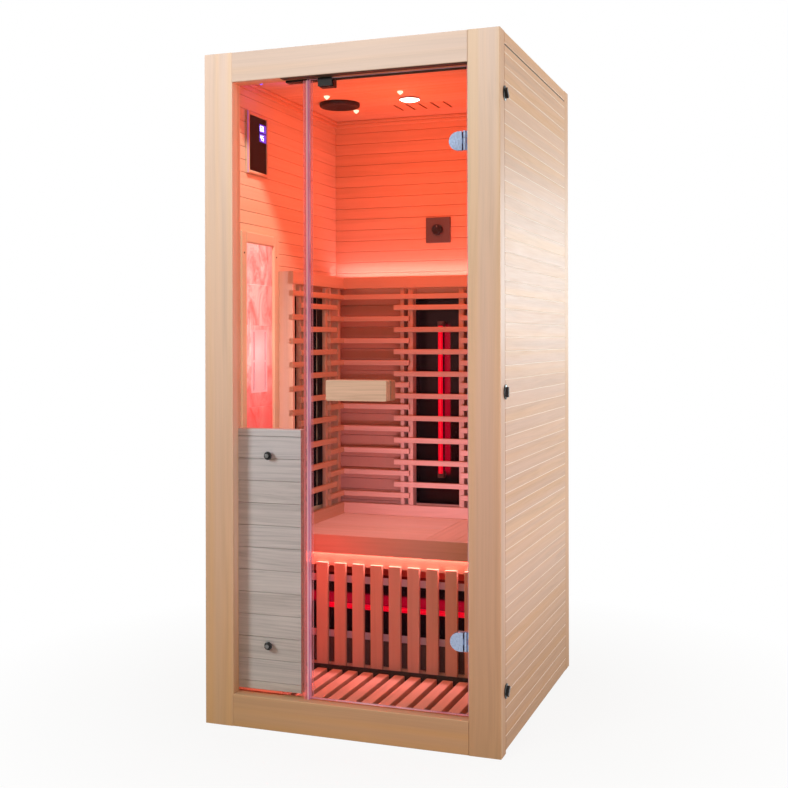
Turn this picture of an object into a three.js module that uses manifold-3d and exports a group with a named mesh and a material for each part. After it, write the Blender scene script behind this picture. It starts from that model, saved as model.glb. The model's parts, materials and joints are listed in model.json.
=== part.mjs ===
// Infrared sauna cabin for one person: boarded walls, a glass front with a hinged door, and a slatted
// bench and backrests in front of infrared heaters. Millimetres, +Z up, +X to the right as seen from
// the front, -Y towards the front. The origin is the middle of the underside of the floor panel.
import * as THREE from "three";
import { mergeVertices } from "three/addons/utils/BufferGeometryUtils.js";
import Module from "manifold-3d";

const wasm = await Module();
wasm.setup();

// Cabin body
const width = 866;
const depth = 886;
const height = 1900;
const wallThick = 55;
const liningThick = 12;
const boardThick = 14; // outer boards in front of the hollow between panel and lining
const battenWidth = 45;
const wallBays = 3;
const wallFoot = 8; // the boarded walls end this far above the ground
const boardPitch = 37.5;
const grooveWidth = 4;
const grooveDepth = 2;
const roofThick = 31;
const roofShadowGap = 4;
const ceilingThick = 18;
const floorThick = 48;
const fit = 0.3; // clearance between pieces that are made apart
const lap = 2; // how far joined slats and rails are let into each other

// Front frame and fixed pane
const frameThick = 50;
const stileWidth = 88;
const topRailHeight = 84;
const bottomRailHeight = 90;
const glassThick = 6;
const glassSetBack = 27;
const glassRebate = 8;
const fixedPaneWidth = 221; // as seen between the stile and the pane's free edge
const sealReach = 12;
const sealWall = 2;
const sealFin = 8;

// Door
const doorGap = 4;
const doorHingeGap = 6;
const hingeAxisGap = 15; // hinge axis to the stile
const hingeHeight = 50;
const hingeFromTop = 198; // middle of the upper hinge to the door's top edge
const hingeFromFoot = 195;
const clampWidth = 36;
const clampThick = 4;
const clampGrip = 21; // how far a clamp reaches over the glass
const knuckleRadius = 6.5;
const knuckleHeight = 17;
const pinRadius = 2.5;
const pinHeadHeight = 1.5;
const bracketThick = 4;
const bracketDepth = 22;
const handleWidth = 176;
const handleHeight = 56;
const handleDepth = 32;
const handleCorner = 4;
const handleFromEdge = 151; // door's free edge to the middle of the handle
const handleMiddleHeight = 951;
const studSpacing = 110;
const studRadius = 4;
const studDepth = 20;
const strikeWidth = 42;
const strikeFromEdge = 28;
const strikeHeight = 22;
const strikeThick = 1.5;
const catchPlateLength = 145;
const catchPlateThick = 6;
const catchDepth = 26;
const magnetHeight = 26;

// Leg panel behind the fixed pane
const legPanelWidth = 195;
const legPanelThick = 34;
const legPanelTop = 838;
const legPanelGap = 5;
const legBoardPitch = 63;
const legFirstBoard = 29; // the lowest board is a narrow one
const legBoltFromStile = 97;
const legBoltFromTop = 75;
const legBoltFromFoot = 133;
const legBoltHead = 12;
const legBoltShank = 4;
const legBoltDepth = 24;

// Tie bolts on the joints between front frame and side walls
const tieBoltFromTop = 163;
const tieBoltFromFoot = 164;
const tieBoltRadius = 20;
const tieBoltShank = 4;
const tieBoltDepth = 26;
const boltDishThick = 3.5;
const boltBarWidth = 9;
const boltBarRise = 6;
const boltBarTurn = 0.7; // radians

// Bench
const benchHeight = 490;
const seatThick = 28;
const apronHeight = 58;
const apronThick = 20;
const benchFront = 367; // front of the seat behind the front face of the cabin
const cleatWidth = 24;
const cleatHeight = 30;
const benchGrilleSetBack = 16;
const benchSlatPitch = 59.7; // before the slats are spread evenly over the width
const benchSlatWidth = 38;
const benchSlatThick = 14;
const benchSlatDrop = 91; // top of the slats below the top of the seat
const benchRailThick = 18;
const benchTopRailHeight = 74;
const benchFootRailHeight = 38;
const benchPostFromWall = 38;
const benchPostWidth = 24;

// Floor grille
const floorGrilleTop = 80;
const floorSlatPitch = 49.5; // before the slats are spread evenly over the width
const floorSlatWidth = 33;
const floorSlatThick = 22;
const floorBattenWidth = 40;
const floorGrilleGap = 6;
const floorGrilleBackGap = 26;

// Backrests
const backrestDepth = 50;
const backrestHeight = 814; // above the seat
const backrestRailHeight = 40;
const backrestRailThick = 18;
const kickHeight = 38;
const endBoardSetBack = 2; // front edge of an end board behind the face of the slats
const slatHeight = 17.5;
const slatThick = 14;
const slatRise = 37.5; // from one row of slats to the next
const centreSlatLength = 290;
const slatOverlap = 54;
const uprightWidth = 18;
const slimUprightWidth = 14;
const uprightGap = 14;
const uprightLap = 7; // how far an upright covers the edge of the heater

// Heaters
const heaterWidth = 176;
const heaterAboveSeat = 40;
const heaterHeight = 708;
const heaterDepth = 45;
const heaterSheet = 3;
const heaterSetBack = 1;
const sideHeaterFromBack = 256; // middle of a side heater to the back lining
const tubeRadius = 8;
const tubeStand = 24; // tube's middle in front of the heater's floor
const backTubeLength = 500;
const tubeHolderWidth = 26;
const tubeHolderLength = 22;
const calfHeaterDrop = 133; // top of the heater below the top of the seat
const calfHeaterHeight = 194;
const calfHeaterFromWall = 33;
const calfHeaterDepth = 40;
const calfHeaterRim = 22;
const calfTubeFromWall = 118;

// Salt panel and control panel on the left wall
const saltFromFront = 19; // frame edge to the back of the front frame
const saltWidth = 242;
const saltHeight = 664;
const saltBelowControl = 180;
const saltFrameWidth = 30;
const saltFrameDepth = 28;
const saltThick = 20;
const saltBrickHeight = 103;
const controlFromFront = 97;
const controlWidth = 131;
const controlFromCeiling = 84;
const controlHeight = 183;
const controlFrameWidth = 9;
const controlFrameDepth = 10;
const controlScreenThick = 7;

// Dimmer on the back wall
const dimmerSide = 86;
const dimmerAboveBackrest = 157; // middle of the dimmer above the top of the backrest
const dimmerThick = 9;
const knobRadius = 18;
const knobLength = 16;
const knobShaftRadius = 3;
const knobShaftLength = 7;

// Ceiling fittings
const speakerRadius = 65;
const speakerDrop = 12.5;
const speakerNeckRadius = 55;
const speakerNeckHeight = 15;
const speakerFromMiddle = 239;
const lampRadius = 33;
const lampDrop = 5;
const lampNeckRadius = 27;
const lampNeckHeight = 12;
const fittingsFromBack = 296; // middle of speaker and lamp to the back lining
const ventCount = 5;
const ventPitch = 42;
const ventLength = 97;
const ventWidth = 5;
const ventFromBack = 164;
const powerBoxWidth = 180;
const powerBoxDepth = 120;
const powerBoxHeight = 20;
const powerBoxFromMiddle = 240;
const powerBoxFromBack = 110;
const glandRadius = 8;

// Light strips
const lightStripWidth = 10;
const lightStripThick = 5;
const backLightFromWall = 78;
const benchLightFromWall = 38;

// Finishes
const hemlock = { color: 0xe2c5a2, roughness: 0.6, metalness: 0 };
const greyHemlock = { color: 0xc4b8ab, roughness: 0.65, metalness: 0 };
const warmHemlock = { color: 0xd99a78, roughness: 0.6, metalness: 0 };
const clearGlass = { color: 0xd8e6e4, roughness: 0.05, metalness: 0, transparent: true, opacity: 0.25 };
const clearVinyl = { color: 0xe3d5e0, roughness: 0.2, metalness: 0 };
const chrome = { color: 0xb4bcc8, roughness: 0.15, metalness: 1 };
const darkSteel = { color: 0x4a4642, roughness: 0.35, metalness: 0.9 };
const blackPlastic = { color: 0x1d1a1b, roughness: 0.5, metalness: 0 };
const carbon = { color: 0x1c1517, roughness: 0.25, metalness: 0 };
const redTube = { color: 0xc00014, roughness: 0.3, metalness: 0, emissive: 0x900010 };
const saltPink = { color: 0xf3a49b, roughness: 0.7, metalness: 0, emissive: 0x802820 };
const darkScreen = { color: 0x14101a, roughness: 0.1, metalness: 0 };
const lampWhite = { color: 0xfff6ee, roughness: 0.3, metalness: 0, emissive: 0xffe8d8 };
const greySteel = { color: 0x8d9094, roughness: 0.5, metalness: 0.8 };

// Planes and heights that several pieces share
const right = width / 2;
const front = -depth / 2;
const back = depth / 2;
const frameBack = front + frameThick;
const innerRight = right - wallThick;
const innerBack = back - wallThick;
const openingRight = right - stileWidth;
const openingTop = height - topRailHeight;
const roofFoot = height - roofThick;
const wallTop = roofFoot - roofShadowGap;
const ceilingTop = roofFoot - fit;
const ceilingFoot = ceilingTop - ceilingThick;
const glassFront = front + glassSetBack;
const glassBack = glassFront + glassThick;
const glassMiddle = (glassFront + glassBack) / 2;
const floorTop = floorThick + fit;
const seatFront = front + benchFront;
const seatFoot = benchHeight - seatThick;
const paneEdge = fixedPaneWidth - openingRight;
const doorLeft = paneEdge + doorGap;
const doorRight = openingRight - doorHingeGap;
const doorFoot = bottomRailHeight + doorGap;
const doorTop = openingTop - doorGap;
const hingeX = openingRight - hingeAxisGap;
const hingeHeights = { upper: doorTop - hingeFromTop, lower: doorFoot + hingeFromFoot };
const sideHeaterY = innerBack - sideHeaterFromBack;
const heaterFoot = benchHeight + heaterAboveSeat;
const backrestTop = benchHeight + backrestHeight;
const controlTop = ceilingFoot - controlFromCeiling;
const controlFoot = controlTop - controlHeight;

const cabin = new THREE.Group();
cabin.name = "infrared_sauna_cabin";

// Adds one named sub-part with its own material to a group
function add(group, name, geometry, finish) {
  const mesh = new THREE.Mesh(geometry, new THREE.MeshStandardMaterial(finish));
  mesh.name = name;
  group.add(mesh);
}

// Adds a group that stands at a place and is turned about the vertical
function addGroup(x, y, turn = 0) {
  const group = new THREE.Group();
  group.position.set(x, y, 0);
  group.rotation.z = turn;
  cabin.add(group);
  return group;
}

// A block between pairs of coordinates
function block([x0, x1], [y0, y1], [z0, z1]) {
  const geometry = new THREE.BoxGeometry(x1 - x0, y1 - y0, z1 - z0);
  return geometry.translate((x0 + x1) / 2, (y0 + y1) / 2, (z0 + z1) / 2);
}

// A pair of coordinates around a middle
function around(middle, length) {
  return [middle - length / 2, middle + length / 2];
}

// A closed geometry as a solid for joining and cutting
function solid(geometry) {
  const bare = geometry.index ? geometry.toNonIndexed() : geometry.clone();
  bare.deleteAttribute("normal");
  bare.deleteAttribute("uv");
  const merged = mergeVertices(bare, 1e-4);
  const vertProperties = merged.attributes.position.array;
  const triVerts = new Uint32Array(merged.index.array);
  return new wasm.Manifold(new wasm.Mesh({ numProp: 3, vertProperties, triVerts }));
}

function geometryOf(body) {
  const { vertProperties, triVerts } = body.getMesh();
  const geometry = new THREE.BufferGeometry();
  geometry.setAttribute("position", new THREE.BufferAttribute(vertProperties, 3));
  geometry.setIndex(new THREE.BufferAttribute(triVerts, 1));
  geometry.computeVertexNormals();
  return geometry;
}

function join(...shapes) {
  return geometryOf(shapes.map(solid).reduce((whole, next) => whole.add(next)));
}

function cut(shape, ...tools) {
  return geometryOf(tools.map(solid).reduce((rest, tool) => rest.subtract(tool), solid(shape)));
}

// Extrusions of an outline: (y, z) along X, (z, y) along -X, (x, z) along -Y
function alongX(outline, [x0, x1]) {
  const geometry = new THREE.ExtrudeGeometry(outline, { depth: x1 - x0, bevelEnabled: false });
  const axes = [new THREE.Vector3(0, 1, 0), new THREE.Vector3(0, 0, 1), new THREE.Vector3(1, 0, 0)];
  return geometry.applyMatrix4(new THREE.Matrix4().makeBasis(...axes)).translate(x0, 0, 0);
}

function acrossX(outline, [x0, x1]) {
  const geometry = new THREE.ExtrudeGeometry(outline, { depth: x1 - x0, bevelEnabled: false });
  const axes = [new THREE.Vector3(0, 0, 1), new THREE.Vector3(0, 1, 0), new THREE.Vector3(-1, 0, 0)];
  return geometry.applyMatrix4(new THREE.Matrix4().makeBasis(...axes)).translate(x1, 0, 0);
}

function alongY(outline, [y0, y1]) {
  const options = { depth: y1 - y0, bevelEnabled: false, curveSegments: 4 };
  return new THREE.ExtrudeGeometry(outline, options).rotateX(Math.PI / 2).translate(0, y1, 0);
}

// Round bars along one axis between two coordinates
function barZ(radius, x, y, [z0, z1], sides = 24) {
  const geometry = new THREE.CylinderGeometry(radius, radius, z1 - z0, sides).rotateX(Math.PI / 2);
  return geometry.translate(x, y, (z0 + z1) / 2);
}

function barY(radius, x, z, [y0, y1], sides = 24) {
  const geometry = new THREE.CylinderGeometry(radius, radius, y1 - y0, sides);
  return geometry.translate(x, (y0 + y1) / 2, z);
}

function barX(radius, y, z, [x0, x1], sides = 24) {
  const geometry = new THREE.CylinderGeometry(radius, radius, x1 - x0, sides).rotateZ(Math.PI / 2);
  return geometry.translate((x0 + x1) / 2, y, z);
}

// Section through boards laid edge to edge, as (thickness, run): a flat rear face and a front face
// with a V groove at each joint
function boardSection(rear, face, from, to, pitch, firstBoard = pitch) {
  const outline = new THREE.Shape();
  const bottom = face + Math.sign(rear - face) * grooveDepth;
  outline.moveTo(rear, from);
  outline.lineTo(face, from);
  for (let joint = from + firstBoard; joint < to - grooveWidth; joint += pitch) {
    outline.lineTo(face, joint - grooveWidth / 2);
    outline.lineTo(bottom, joint);
    outline.lineTo(face, joint + grooveWidth / 2);
  }
  outline.lineTo(face, to);
  outline.lineTo(rear, to);
  outline.closePath();
  return outline;
}

function roundedRectangle([u0, u1], [v0, v1], radius) {
  const outline = new THREE.Shape();
  outline.absarc(u1 - radius, v0 + radius, radius, -Math.PI / 2, 0);
  outline.absarc(u1 - radius, v1 - radius, radius, 0, Math.PI / 2);
  outline.absarc(u0 + radius, v1 - radius, radius, Math.PI / 2, Math.PI);
  outline.absarc(u0 + radius, v0 + radius, radius, Math.PI, Math.PI * 1.5);
  return outline;
}

// Front frame. The fixed pane sits in rebates of the left stile and of both rails.
const rebateY = [glassFront - fit, glassBack + fit];
const rebateDepth = glassRebate + fit;
const tieBoltY = frameBack + fit / 2;
const tieBoltHeights = {
  upper: height - tieBoltFromTop,
  middle: (height - tieBoltFromTop + tieBoltFromFoot) / 2,
  lower: tieBoltFromFoot,
};

function tieBoltHoles(side, face) {
  const outer = side * face;
  const span = [Math.min(outer, outer - side * tieBoltDepth), Math.max(outer, outer - side * tieBoltDepth)];
  const radius = tieBoltShank + fit;
  return Object.values(tieBoltHeights).map((z) => barX(radius, tieBoltY, z, span, 12));
}

function frontFrame() {
  const paneZ = [bottomRailHeight - rebateDepth, openingTop + rebateDepth];
  const paneX = [-openingRight - rebateDepth, paneEdge + fit];
  const stileY = [front, frameBack];
  const leftStile = block([-right, -openingRight], stileY, [0, height]);
  const stileRebate = block([paneX[0], -openingRight + fit], rebateY, paneZ);
  add(cabin, "front_left_stile", cut(leftStile, stileRebate, ...tieBoltHoles(-1, right)), hemlock);
  const rightStile = block([openingRight, right], stileY, [0, height]);
  add(cabin, "front_right_stile", cut(rightStile, ...tieBoltHoles(1, right)), hemlock);
  const railX = [-openingRight + fit, openingRight - fit];
  const paneRebate = block([railX[0] - fit, paneX[1]], rebateY, paneZ);
  add(cabin, "front_top_rail", cut(block(railX, stileY, [openingTop, height]), paneRebate), hemlock);
  add(cabin, "front_bottom_rail", cut(block(railX, stileY, [0, bottomRailHeight]), paneRebate), hemlock);
}

// Fixed pane, with holes for the bolts that hold the leg panel behind it
const legBoltX = legBoltFromStile - openingRight;
const legPanelFoot = bottomRailHeight + legPanelGap;
const legBoltHeights = { upper: legPanelTop - legBoltFromTop, lower: legPanelFoot + legBoltFromFoot };

function fixedPane() {
  const paneX = [-openingRight - glassRebate, paneEdge];
  const paneZ = [bottomRailHeight - glassRebate, openingTop + glassRebate];
  const pane = block(paneX, [glassFront, glassBack], paneZ);
  const holeY = [glassFront - fit, glassBack + fit];
  const holes = Object.values(legBoltHeights).map((z) => barY(legBoltShank + fit, legBoltX, z, holeY, 12));
  add(cabin, "fixed_glass", cut(pane, ...holes), clearGlass);
}

// Clear strip on the pane's free edge, with a fin behind the door
function glassSeal() {
  const sealY = [glassFront - fit - sealWall, glassBack + fit + sealWall];
  const sealZ = [bottomRailHeight + fit, openingTop - catchPlateThick - 2 * fit];
  const channel = block([paneEdge - sealReach, paneEdge + fit + sealWall], sealY, sealZ);
  const slot = block([paneEdge - sealReach - fit, paneEdge + fit], rebateY, [sealZ[0] - fit, sealZ[1] + fit]);
  const fin = block([paneEdge, doorLeft + sealFin], [glassBack + 2 * fit, sealY[1]], sealZ);
  add(cabin, "glass_seal", join(cut(channel, slot), fin), clearVinyl);
}

// Head of a hand-turned bolt on its shank, along +Z: a dished rosette with a raised bar across it
function boltShape(headRadius, shankRadius, shankDepth, turn) {
  const seat = fit;
  const rim = headRadius * 0.8;
  const profile = [
    new THREE.Vector2(0, -shankDepth),
    new THREE.Vector2(shankRadius, -shankDepth),
    new THREE.Vector2(shankRadius, seat),
    new THREE.Vector2(headRadius, seat),
    new THREE.Vector2(headRadius, seat + boltDishThick / 2),
    new THREE.Vector2(rim, seat + boltDishThick),
    new THREE.Vector2(0, seat + boltDishThick / 2),
  ];
  const turned = new THREE.LatheGeometry(profile, 16).rotateX(Math.PI / 2);
  const barTop = seat + boltDishThick + boltBarRise;
  const bar = block(around(0, rim * 1.7), around(0, boltBarWidth), [seat + boltDishThick / 4, barTop]);
  return join(turned, bar.rotateZ(turn));
}

function legPanel() {
  const panelY = [glassBack + fit, glassBack + fit + legPanelThick];
  const panelX = [-openingRight + fit, -openingRight + legPanelWidth];
  const boards = [legPanelFoot, legPanelTop, legBoardPitch, legFirstBoard];
  const section = boardSection(panelY[1], panelY[0], ...boards);
  const holeY = [panelY[0] - fit, glassFront + legBoltDepth + fit];
  const holes = Object.values(legBoltHeights).map((z) => barY(legBoltShank + fit, legBoltX, z, holeY, 12));
  add(cabin, "leg_panel", cut(alongX(section, panelX), ...holes), greyHemlock);
  for (const [level, z] of Object.entries(legBoltHeights)) {
    const bolt = boltShape(legBoltHead, legBoltShank, legBoltDepth, boltBarTurn);
    bolt.rotateX(Math.PI / 2).translate(legBoltX, glassFront, z);
    add(cabin, `leg_panel_bolt_${level}`, bolt, darkSteel);
  }
}

function tieBolts() {
  for (const [side, name] of [[1, "right"], [-1, "left"]]) {
    for (const [step, [level, z]] of Object.entries(tieBoltHeights).entries()) {
      const bolt = boltShape(tieBoltRadius, tieBoltShank, tieBoltDepth - fit, boltBarTurn * (1 - step));
      bolt.rotateY((side * Math.PI) / 2).translate(side * right, tieBoltY, z);
      add(cabin, `tie_bolt_${name}_${level}`, bolt, darkSteel);
    }
  }
}

// Door, in a group at the hinge axis: the glass lies along -X
const door = addGroup(hingeX, glassMiddle);
const doorX = [doorLeft - hingeX, doorRight - hingeX];
const handleX = doorX[0] + handleFromEdge;
const studX = around(handleX, studSpacing);
const paneY = [-glassThick / 2, glassThick / 2];
const clampX = [-clampWidth - knuckleRadius - fit, -knuckleRadius - fit];
const notchX = clampX[0] + clampGrip;
const notchHeight = hingeHeight + 2 * (pinHeadHeight + 3 * fit);

function doorGlass() {
  const notches = Object.values(hingeHeights).map((z) =>
    block([notchX, doorX[1] + fit], [paneY[0] - fit, paneY[1] + fit], around(z, notchHeight)),
  );
  const holeY = [-glassThick, glassThick];
  const holes = studX.map((x) => barY(studRadius + fit, x, handleMiddleHeight, holeY, 16));
  add(door, "door_glass", cut(block(doorX, paneY, [doorFoot, doorTop]), ...notches, ...holes), clearGlass);
}

function doorHandle() {
  const heights = around(handleMiddleHeight, handleHeight);
  const outline = roundedRectangle(around(handleX, handleWidth), heights, handleCorner);
  const seat = glassThick / 2 + fit;
  const studs = (radius, from) =>
    studX.map((x) => barY(radius, x, handleMiddleHeight, [from, seat + lap], 16));
  const outer = alongY(outline, [-seat - handleDepth, -seat]);
  add(door, "door_handle_outer", cut(outer, ...studs(studRadius + fit, -seat - studDepth)), hemlock);
  const inner = alongY(outline, [seat, seat + handleDepth]);
  add(door, "door_handle_inner", join(inner, ...studs(studRadius, fit - seat - studDepth)), hemlock);
}

// Hinges: a clamp on the glass with the middle knuckle, a bracket on the stile with the outer two, a pin
function hinge(level, z) {
  const seat = glassThick / 2 + fit;
  const [left, clampRight] = clampX;
  const radius = hingeHeight / 2;
  const plate = new THREE.Shape();
  plate.moveTo(clampRight, z - radius);
  plate.lineTo(clampRight, z + radius);
  plate.lineTo(left + radius, z + radius);
  plate.absarc(left + radius, z, radius, Math.PI / 2, Math.PI * 1.5);
  plate.closePath();
  const plates = [[-seat - clampThick, -seat], [seat, seat + clampThick]].map((y) => alongY(plate, y));
  const webY = around(0, 2 * seat + lap);
  const web = block([notchX + fit, clampRight], webY, around(z, hingeHeight - lap));
  const neck = block([clampRight - lap, 0], around(0, knuckleRadius), around(z, knuckleHeight - 2 * fit));
  const bore = barZ(pinRadius + fit, 0, 0, around(z, hingeHeight + lap), 16);
  const middle = barZ(knuckleRadius, 0, 0, around(z, knuckleHeight - 2 * fit));
  add(door, `hinge_clamp_${level}`, cut(join(...plates, web, neck, middle), bore), chrome);

  const stileFace = hingeAxisGap - fit;
  const leaf = block([stileFace - bracketThick, stileFace], around(0, bracketDepth), around(z, hingeHeight));
  const earHeight = (hingeHeight - knuckleHeight) / 2;
  const ears = [-1, 1].flatMap((side) => {
    const span = around(z + (side * (hingeHeight - earHeight)) / 2, earHeight);
    const arm = block([0, stileFace - bracketThick + lap], around(0, knuckleRadius), span);
    return [barZ(knuckleRadius, 0, 0, span), arm];
  });
  const bracketGeometry = cut(join(leaf, ...ears), bore).translate(hingeX, glassMiddle, 0);
  add(cabin, `hinge_bracket_${level}`, bracketGeometry, chrome);

  const headSeat = z + hingeHeight / 2 + fit;
  const shank = barZ(pinRadius, 0, 0, [z - hingeHeight / 2, headSeat + pinHeadHeight / 2], 16);
  const head = barZ(knuckleRadius - 1, 0, 0, [headSeat, headSeat + pinHeadHeight], 16);
  add(cabin, `hinge_pin_${level}`, join(shank, head).translate(hingeX, glassMiddle, 0), chrome);
}

// Strike clip over the door's top edge, and the catch that holds it under the top rail
function doorCatch() {
  const clipX = around(doorX[0] + strikeFromEdge + strikeWidth / 2, strikeWidth);
  const inside = glassThick / 2 + fit;
  const outside = inside + strikeThick;
  const clipFoot = doorTop - strikeHeight;
  const clip = block(clipX, [-outside, outside], [clipFoot, doorTop + fit + strikeThick]);
  const slotX = [clipX[0] - fit, clipX[1] + fit];
  const slot = block(slotX, [-inside, inside], [clipFoot - fit, doorTop + fit]);
  add(door, "door_strike", cut(clip, slot), darkSteel);
  const catchY = [glassMiddle + outside + fit, glassMiddle + outside + fit + catchDepth];
  const catchRight = hingeX + clipX[1];
  const plateTop = openingTop - fit;
  const plateX = [catchRight - catchPlateLength, catchRight];
  const plate = block(plateX, catchY, [plateTop - catchPlateThick, plateTop]);
  const magnet = block([catchRight - strikeWidth, catchRight], catchY, [plateTop - magnetHeight, plateTop]);
  add(cabin, "door_catch", join(plate, magnet), blackPlastic);
}

// A wall group has its inner face on local y = 0, the cabin in front of it at -y and its run along x
const backWall = addGroup(0, innerBack);
const leftWall = addGroup(-innerRight, 0, Math.PI / 2);
const rightWall = addGroup(innerRight, 0, -Math.PI / 2);
const leftRun = [frameBack + fit, innerBack - fit];
const rightRun = [-leftRun[1], -leftRun[0]];
const innerRun = [-innerRight + fit, innerRight - fit];

function heaterRecess(middle) {
  const run = around(middle, heaterWidth + 2 * fit);
  return block(run, [-fit, heaterDepth + fit], [heaterFoot - fit, heaterFoot + heaterHeight + fit]);
}

// Hollow bays between the battens that carry the lining
function wallHollows([x0, x1]) {
  const rise = (wallTop - wallFoot - battenWidth) / wallBays;
  const hollowY = [liningThick - fit, wallThick - boardThick];
  const hollows = [];
  for (let bay = 0; bay < wallBays; bay += 1) {
    const foot = wallFoot + battenWidth + bay * rise;
    const heights = [foot, foot + rise - battenWidth];
    hollows.push(block([x0 + battenWidth, x1 - battenWidth], hollowY, heights));
  }
  return hollows;
}

function sideWall(name, group, run, heaterMiddle, jointX) {
  const recess = heaterRecess(heaterMiddle);
  const holeY = [wallThick - tieBoltDepth, wallThick + fit];
  const holes = Object.values(tieBoltHeights).map((z) => barY(tieBoltShank + fit, jointX, z, holeY, 12));
  const boards = alongX(boardSection(liningThick, wallThick, wallFoot, wallTop, boardPitch), run);
  add(group, `${name}_wall_panel`, cut(boards, recess, ...wallHollows(run), ...holes), hemlock);
  const lining = alongX(boardSection(liningThick - fit, 0, wallFoot, wallTop, boardPitch), run);
  add(group, `${name}_wall_lining`, cut(lining, recess), warmHemlock);
}

// The back wall is as tall as the cabin, with boards between two plain corner posts
function rearWall() {
  const recess = heaterRecess(0);
  const boards = alongX(boardSection(0, wallThick, wallFoot, height, boardPitch), [-innerRight, innerRight]);
  const posts = [[-right, -innerRight], [innerRight, right]].map((run) =>
    block(run, [0, wallThick], [wallFoot, height]),
  );
  const bed = block([-innerRight, innerRight], [-fit, liningThick], [wallFoot - fit, wallTop + fit]);
  const panel = cut(join(boards, ...posts), bed, recess, ...wallHollows(innerRun));
  add(backWall, "back_wall_panel", panel, hemlock);
  const lining = alongX(boardSection(liningThick - fit, 0, wallFoot, wallTop, boardPitch), innerRun);
  add(backWall, "back_wall_lining", cut(lining, recess), warmHemlock);
}

// Heater in its recess: an open tray whose floor is the radiating panel
function heater(name, group, middle) {
  const heights = [heaterFoot, heaterFoot + heaterHeight];
  const tray = block(around(middle, heaterWidth), [heaterSetBack, heaterDepth], heights);
  const hollow = block(
    around(middle, heaterWidth - 2 * heaterSheet),
    [0, heaterDepth - heaterSheet],
    [heights[0] + heaterSheet, heights[1] - heaterSheet],
  );
  add(group, `${name}_heater`, cut(tray, hollow), carbon);
}

// Glowing tube between two holders that stand on the heater's floor at local y = floor
function backTube() {
  const floor = heaterDepth - heaterSheet - fit;
  const tubeY = floor - tubeStand;
  const middle = heaterFoot + heaterHeight / 2;
  const holders = [-1, 1].map((side) => {
    const heights = around(middle + (side * backTubeLength) / 2, tubeHolderLength);
    return block(around(0, tubeHolderWidth), [tubeY - tubeRadius, floor], heights);
  });
  const tube = barZ(tubeRadius, 0, tubeY, around(middle, backTubeLength), 16);
  add(backWall, "back_heater_tube", join(tube, ...holders), redTube);
}

// Backrest: slats in alternating rows across uprights, between a top rail and a kick board,
// with a full-height board on each end that can be seen
function backrest(name, group, run, middle, endBoards = []) {
  const face = -backrestDepth;
  const slatY = [face, face + slatThick];
  const uprightY = [face + slatThick, -fit];
  const railFoot = backrestTop - backrestRailHeight;
  const kickFoot = benchHeight + fit;
  const uprightZ = [kickFoot, railFoot + lap];
  const innerEdge = heaterWidth / 2 - uprightLap;
  const slimEdge = innerEdge + uprightWidth + uprightGap;
  const parts = [
    block(run, [face, face + backrestRailThick], [railFoot, backrestTop]),
    block(run, [face, face + backrestRailThick], [kickFoot, kickFoot + kickHeight]),
    block([run[0], run[0] + uprightWidth], uprightY, uprightZ),
    block([run[1] - uprightWidth, run[1]], uprightY, uprightZ),
  ];
  for (const side of [-1, 1]) {
    const upright = around(middle + side * (innerEdge + uprightWidth / 2), uprightWidth);
    const slim = around(middle + side * (slimEdge + slimUprightWidth / 2), slimUprightWidth);
    parts.push(block(upright, uprightY, uprightZ), block(slim, uprightY, uprightZ));
  }
  const endBoardY = [face + endBoardSetBack, -fit];
  parts.push(...endBoards.map((end) => block(end, endBoardY, [kickFoot, backrestTop])));
  const centreRun = around(middle, centreSlatLength);
  const sideRuns = [
    [run[0], centreRun[0] + slatOverlap],
    [centreRun[1] - slatOverlap, run[1]],
  ];
  const lowestRow = kickFoot + kickHeight;
  for (let row = 0, top = railFoot - (slatRise - slatHeight); top - slatHeight > lowestRow; row += 1) {
    const runs = row === 0 ? [run] : row % 2 ? [centreRun] : sideRuns;
    parts.push(...runs.map((slatRun) => block(slatRun, slatY, [top - slatHeight, top])));
    top -= slatRise;
  }
  add(group, `${name}_backrest`, join(...parts), warmHemlock);
}

// Side backrests run from the front of the seat to the face of the back one
const leftBackrestRun = [seatFront, innerBack - backrestDepth - fit];
const rightBackrestRun = [-leftBackrestRun[1], -leftBackrestRun[0]];
const leftEndBoard = [seatFront, seatFront + uprightWidth];
const rightEndBoard = [-leftEndBoard[1], -leftEndBoard[0]];

function wallsAndBackrests() {
  rearWall();
  sideWall("left", leftWall, leftRun, sideHeaterY, tieBoltY);
  sideWall("right", rightWall, rightRun, -sideHeaterY, -tieBoltY);
  backrest("back", backWall, innerRun, 0);
  backrest("left", leftWall, leftBackrestRun, sideHeaterY, [leftEndBoard]);
  backrest("right", rightWall, rightBackrestRun, -sideHeaterY, [rightEndBoard]);
  heater("back", backWall, 0);
  heater("left", leftWall, sideHeaterY);
  heater("right", rightWall, -sideHeaterY);
  backTube();
}

// Light strip on the rear of the back top rail
function backLight() {
  const seat = -backrestDepth + backrestRailThick + fit;
  const heights = around(backrestTop - lightStripWidth, lightStripWidth);
  const run = around(0, 2 * (innerRight - backLightFromWall));
  const strip = block(run, [seat, seat + lightStripThick], heights);
  add(backWall, "back_light_strip", strip, lampWhite);
}

// Salt bricks in a timber frame, and the control panel, both on the left wall
function framedPanel(name, run, heights, frameWidth, frameDepth, finish) {
  const outer = block(run, [-frameDepth, -fit], heights);
  const inner = [run[0] + frameWidth, run[1] - frameWidth];
  const innerHeights = [heights[0] + frameWidth, heights[1] - frameWidth];
  add(leftWall, name, cut(outer, block(inner, [-frameDepth - fit, 0], innerHeights)), finish);
  return { run: [inner[0] + fit, inner[1] - fit], heights: [innerHeights[0] + fit, innerHeights[1] - fit] };
}

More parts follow.
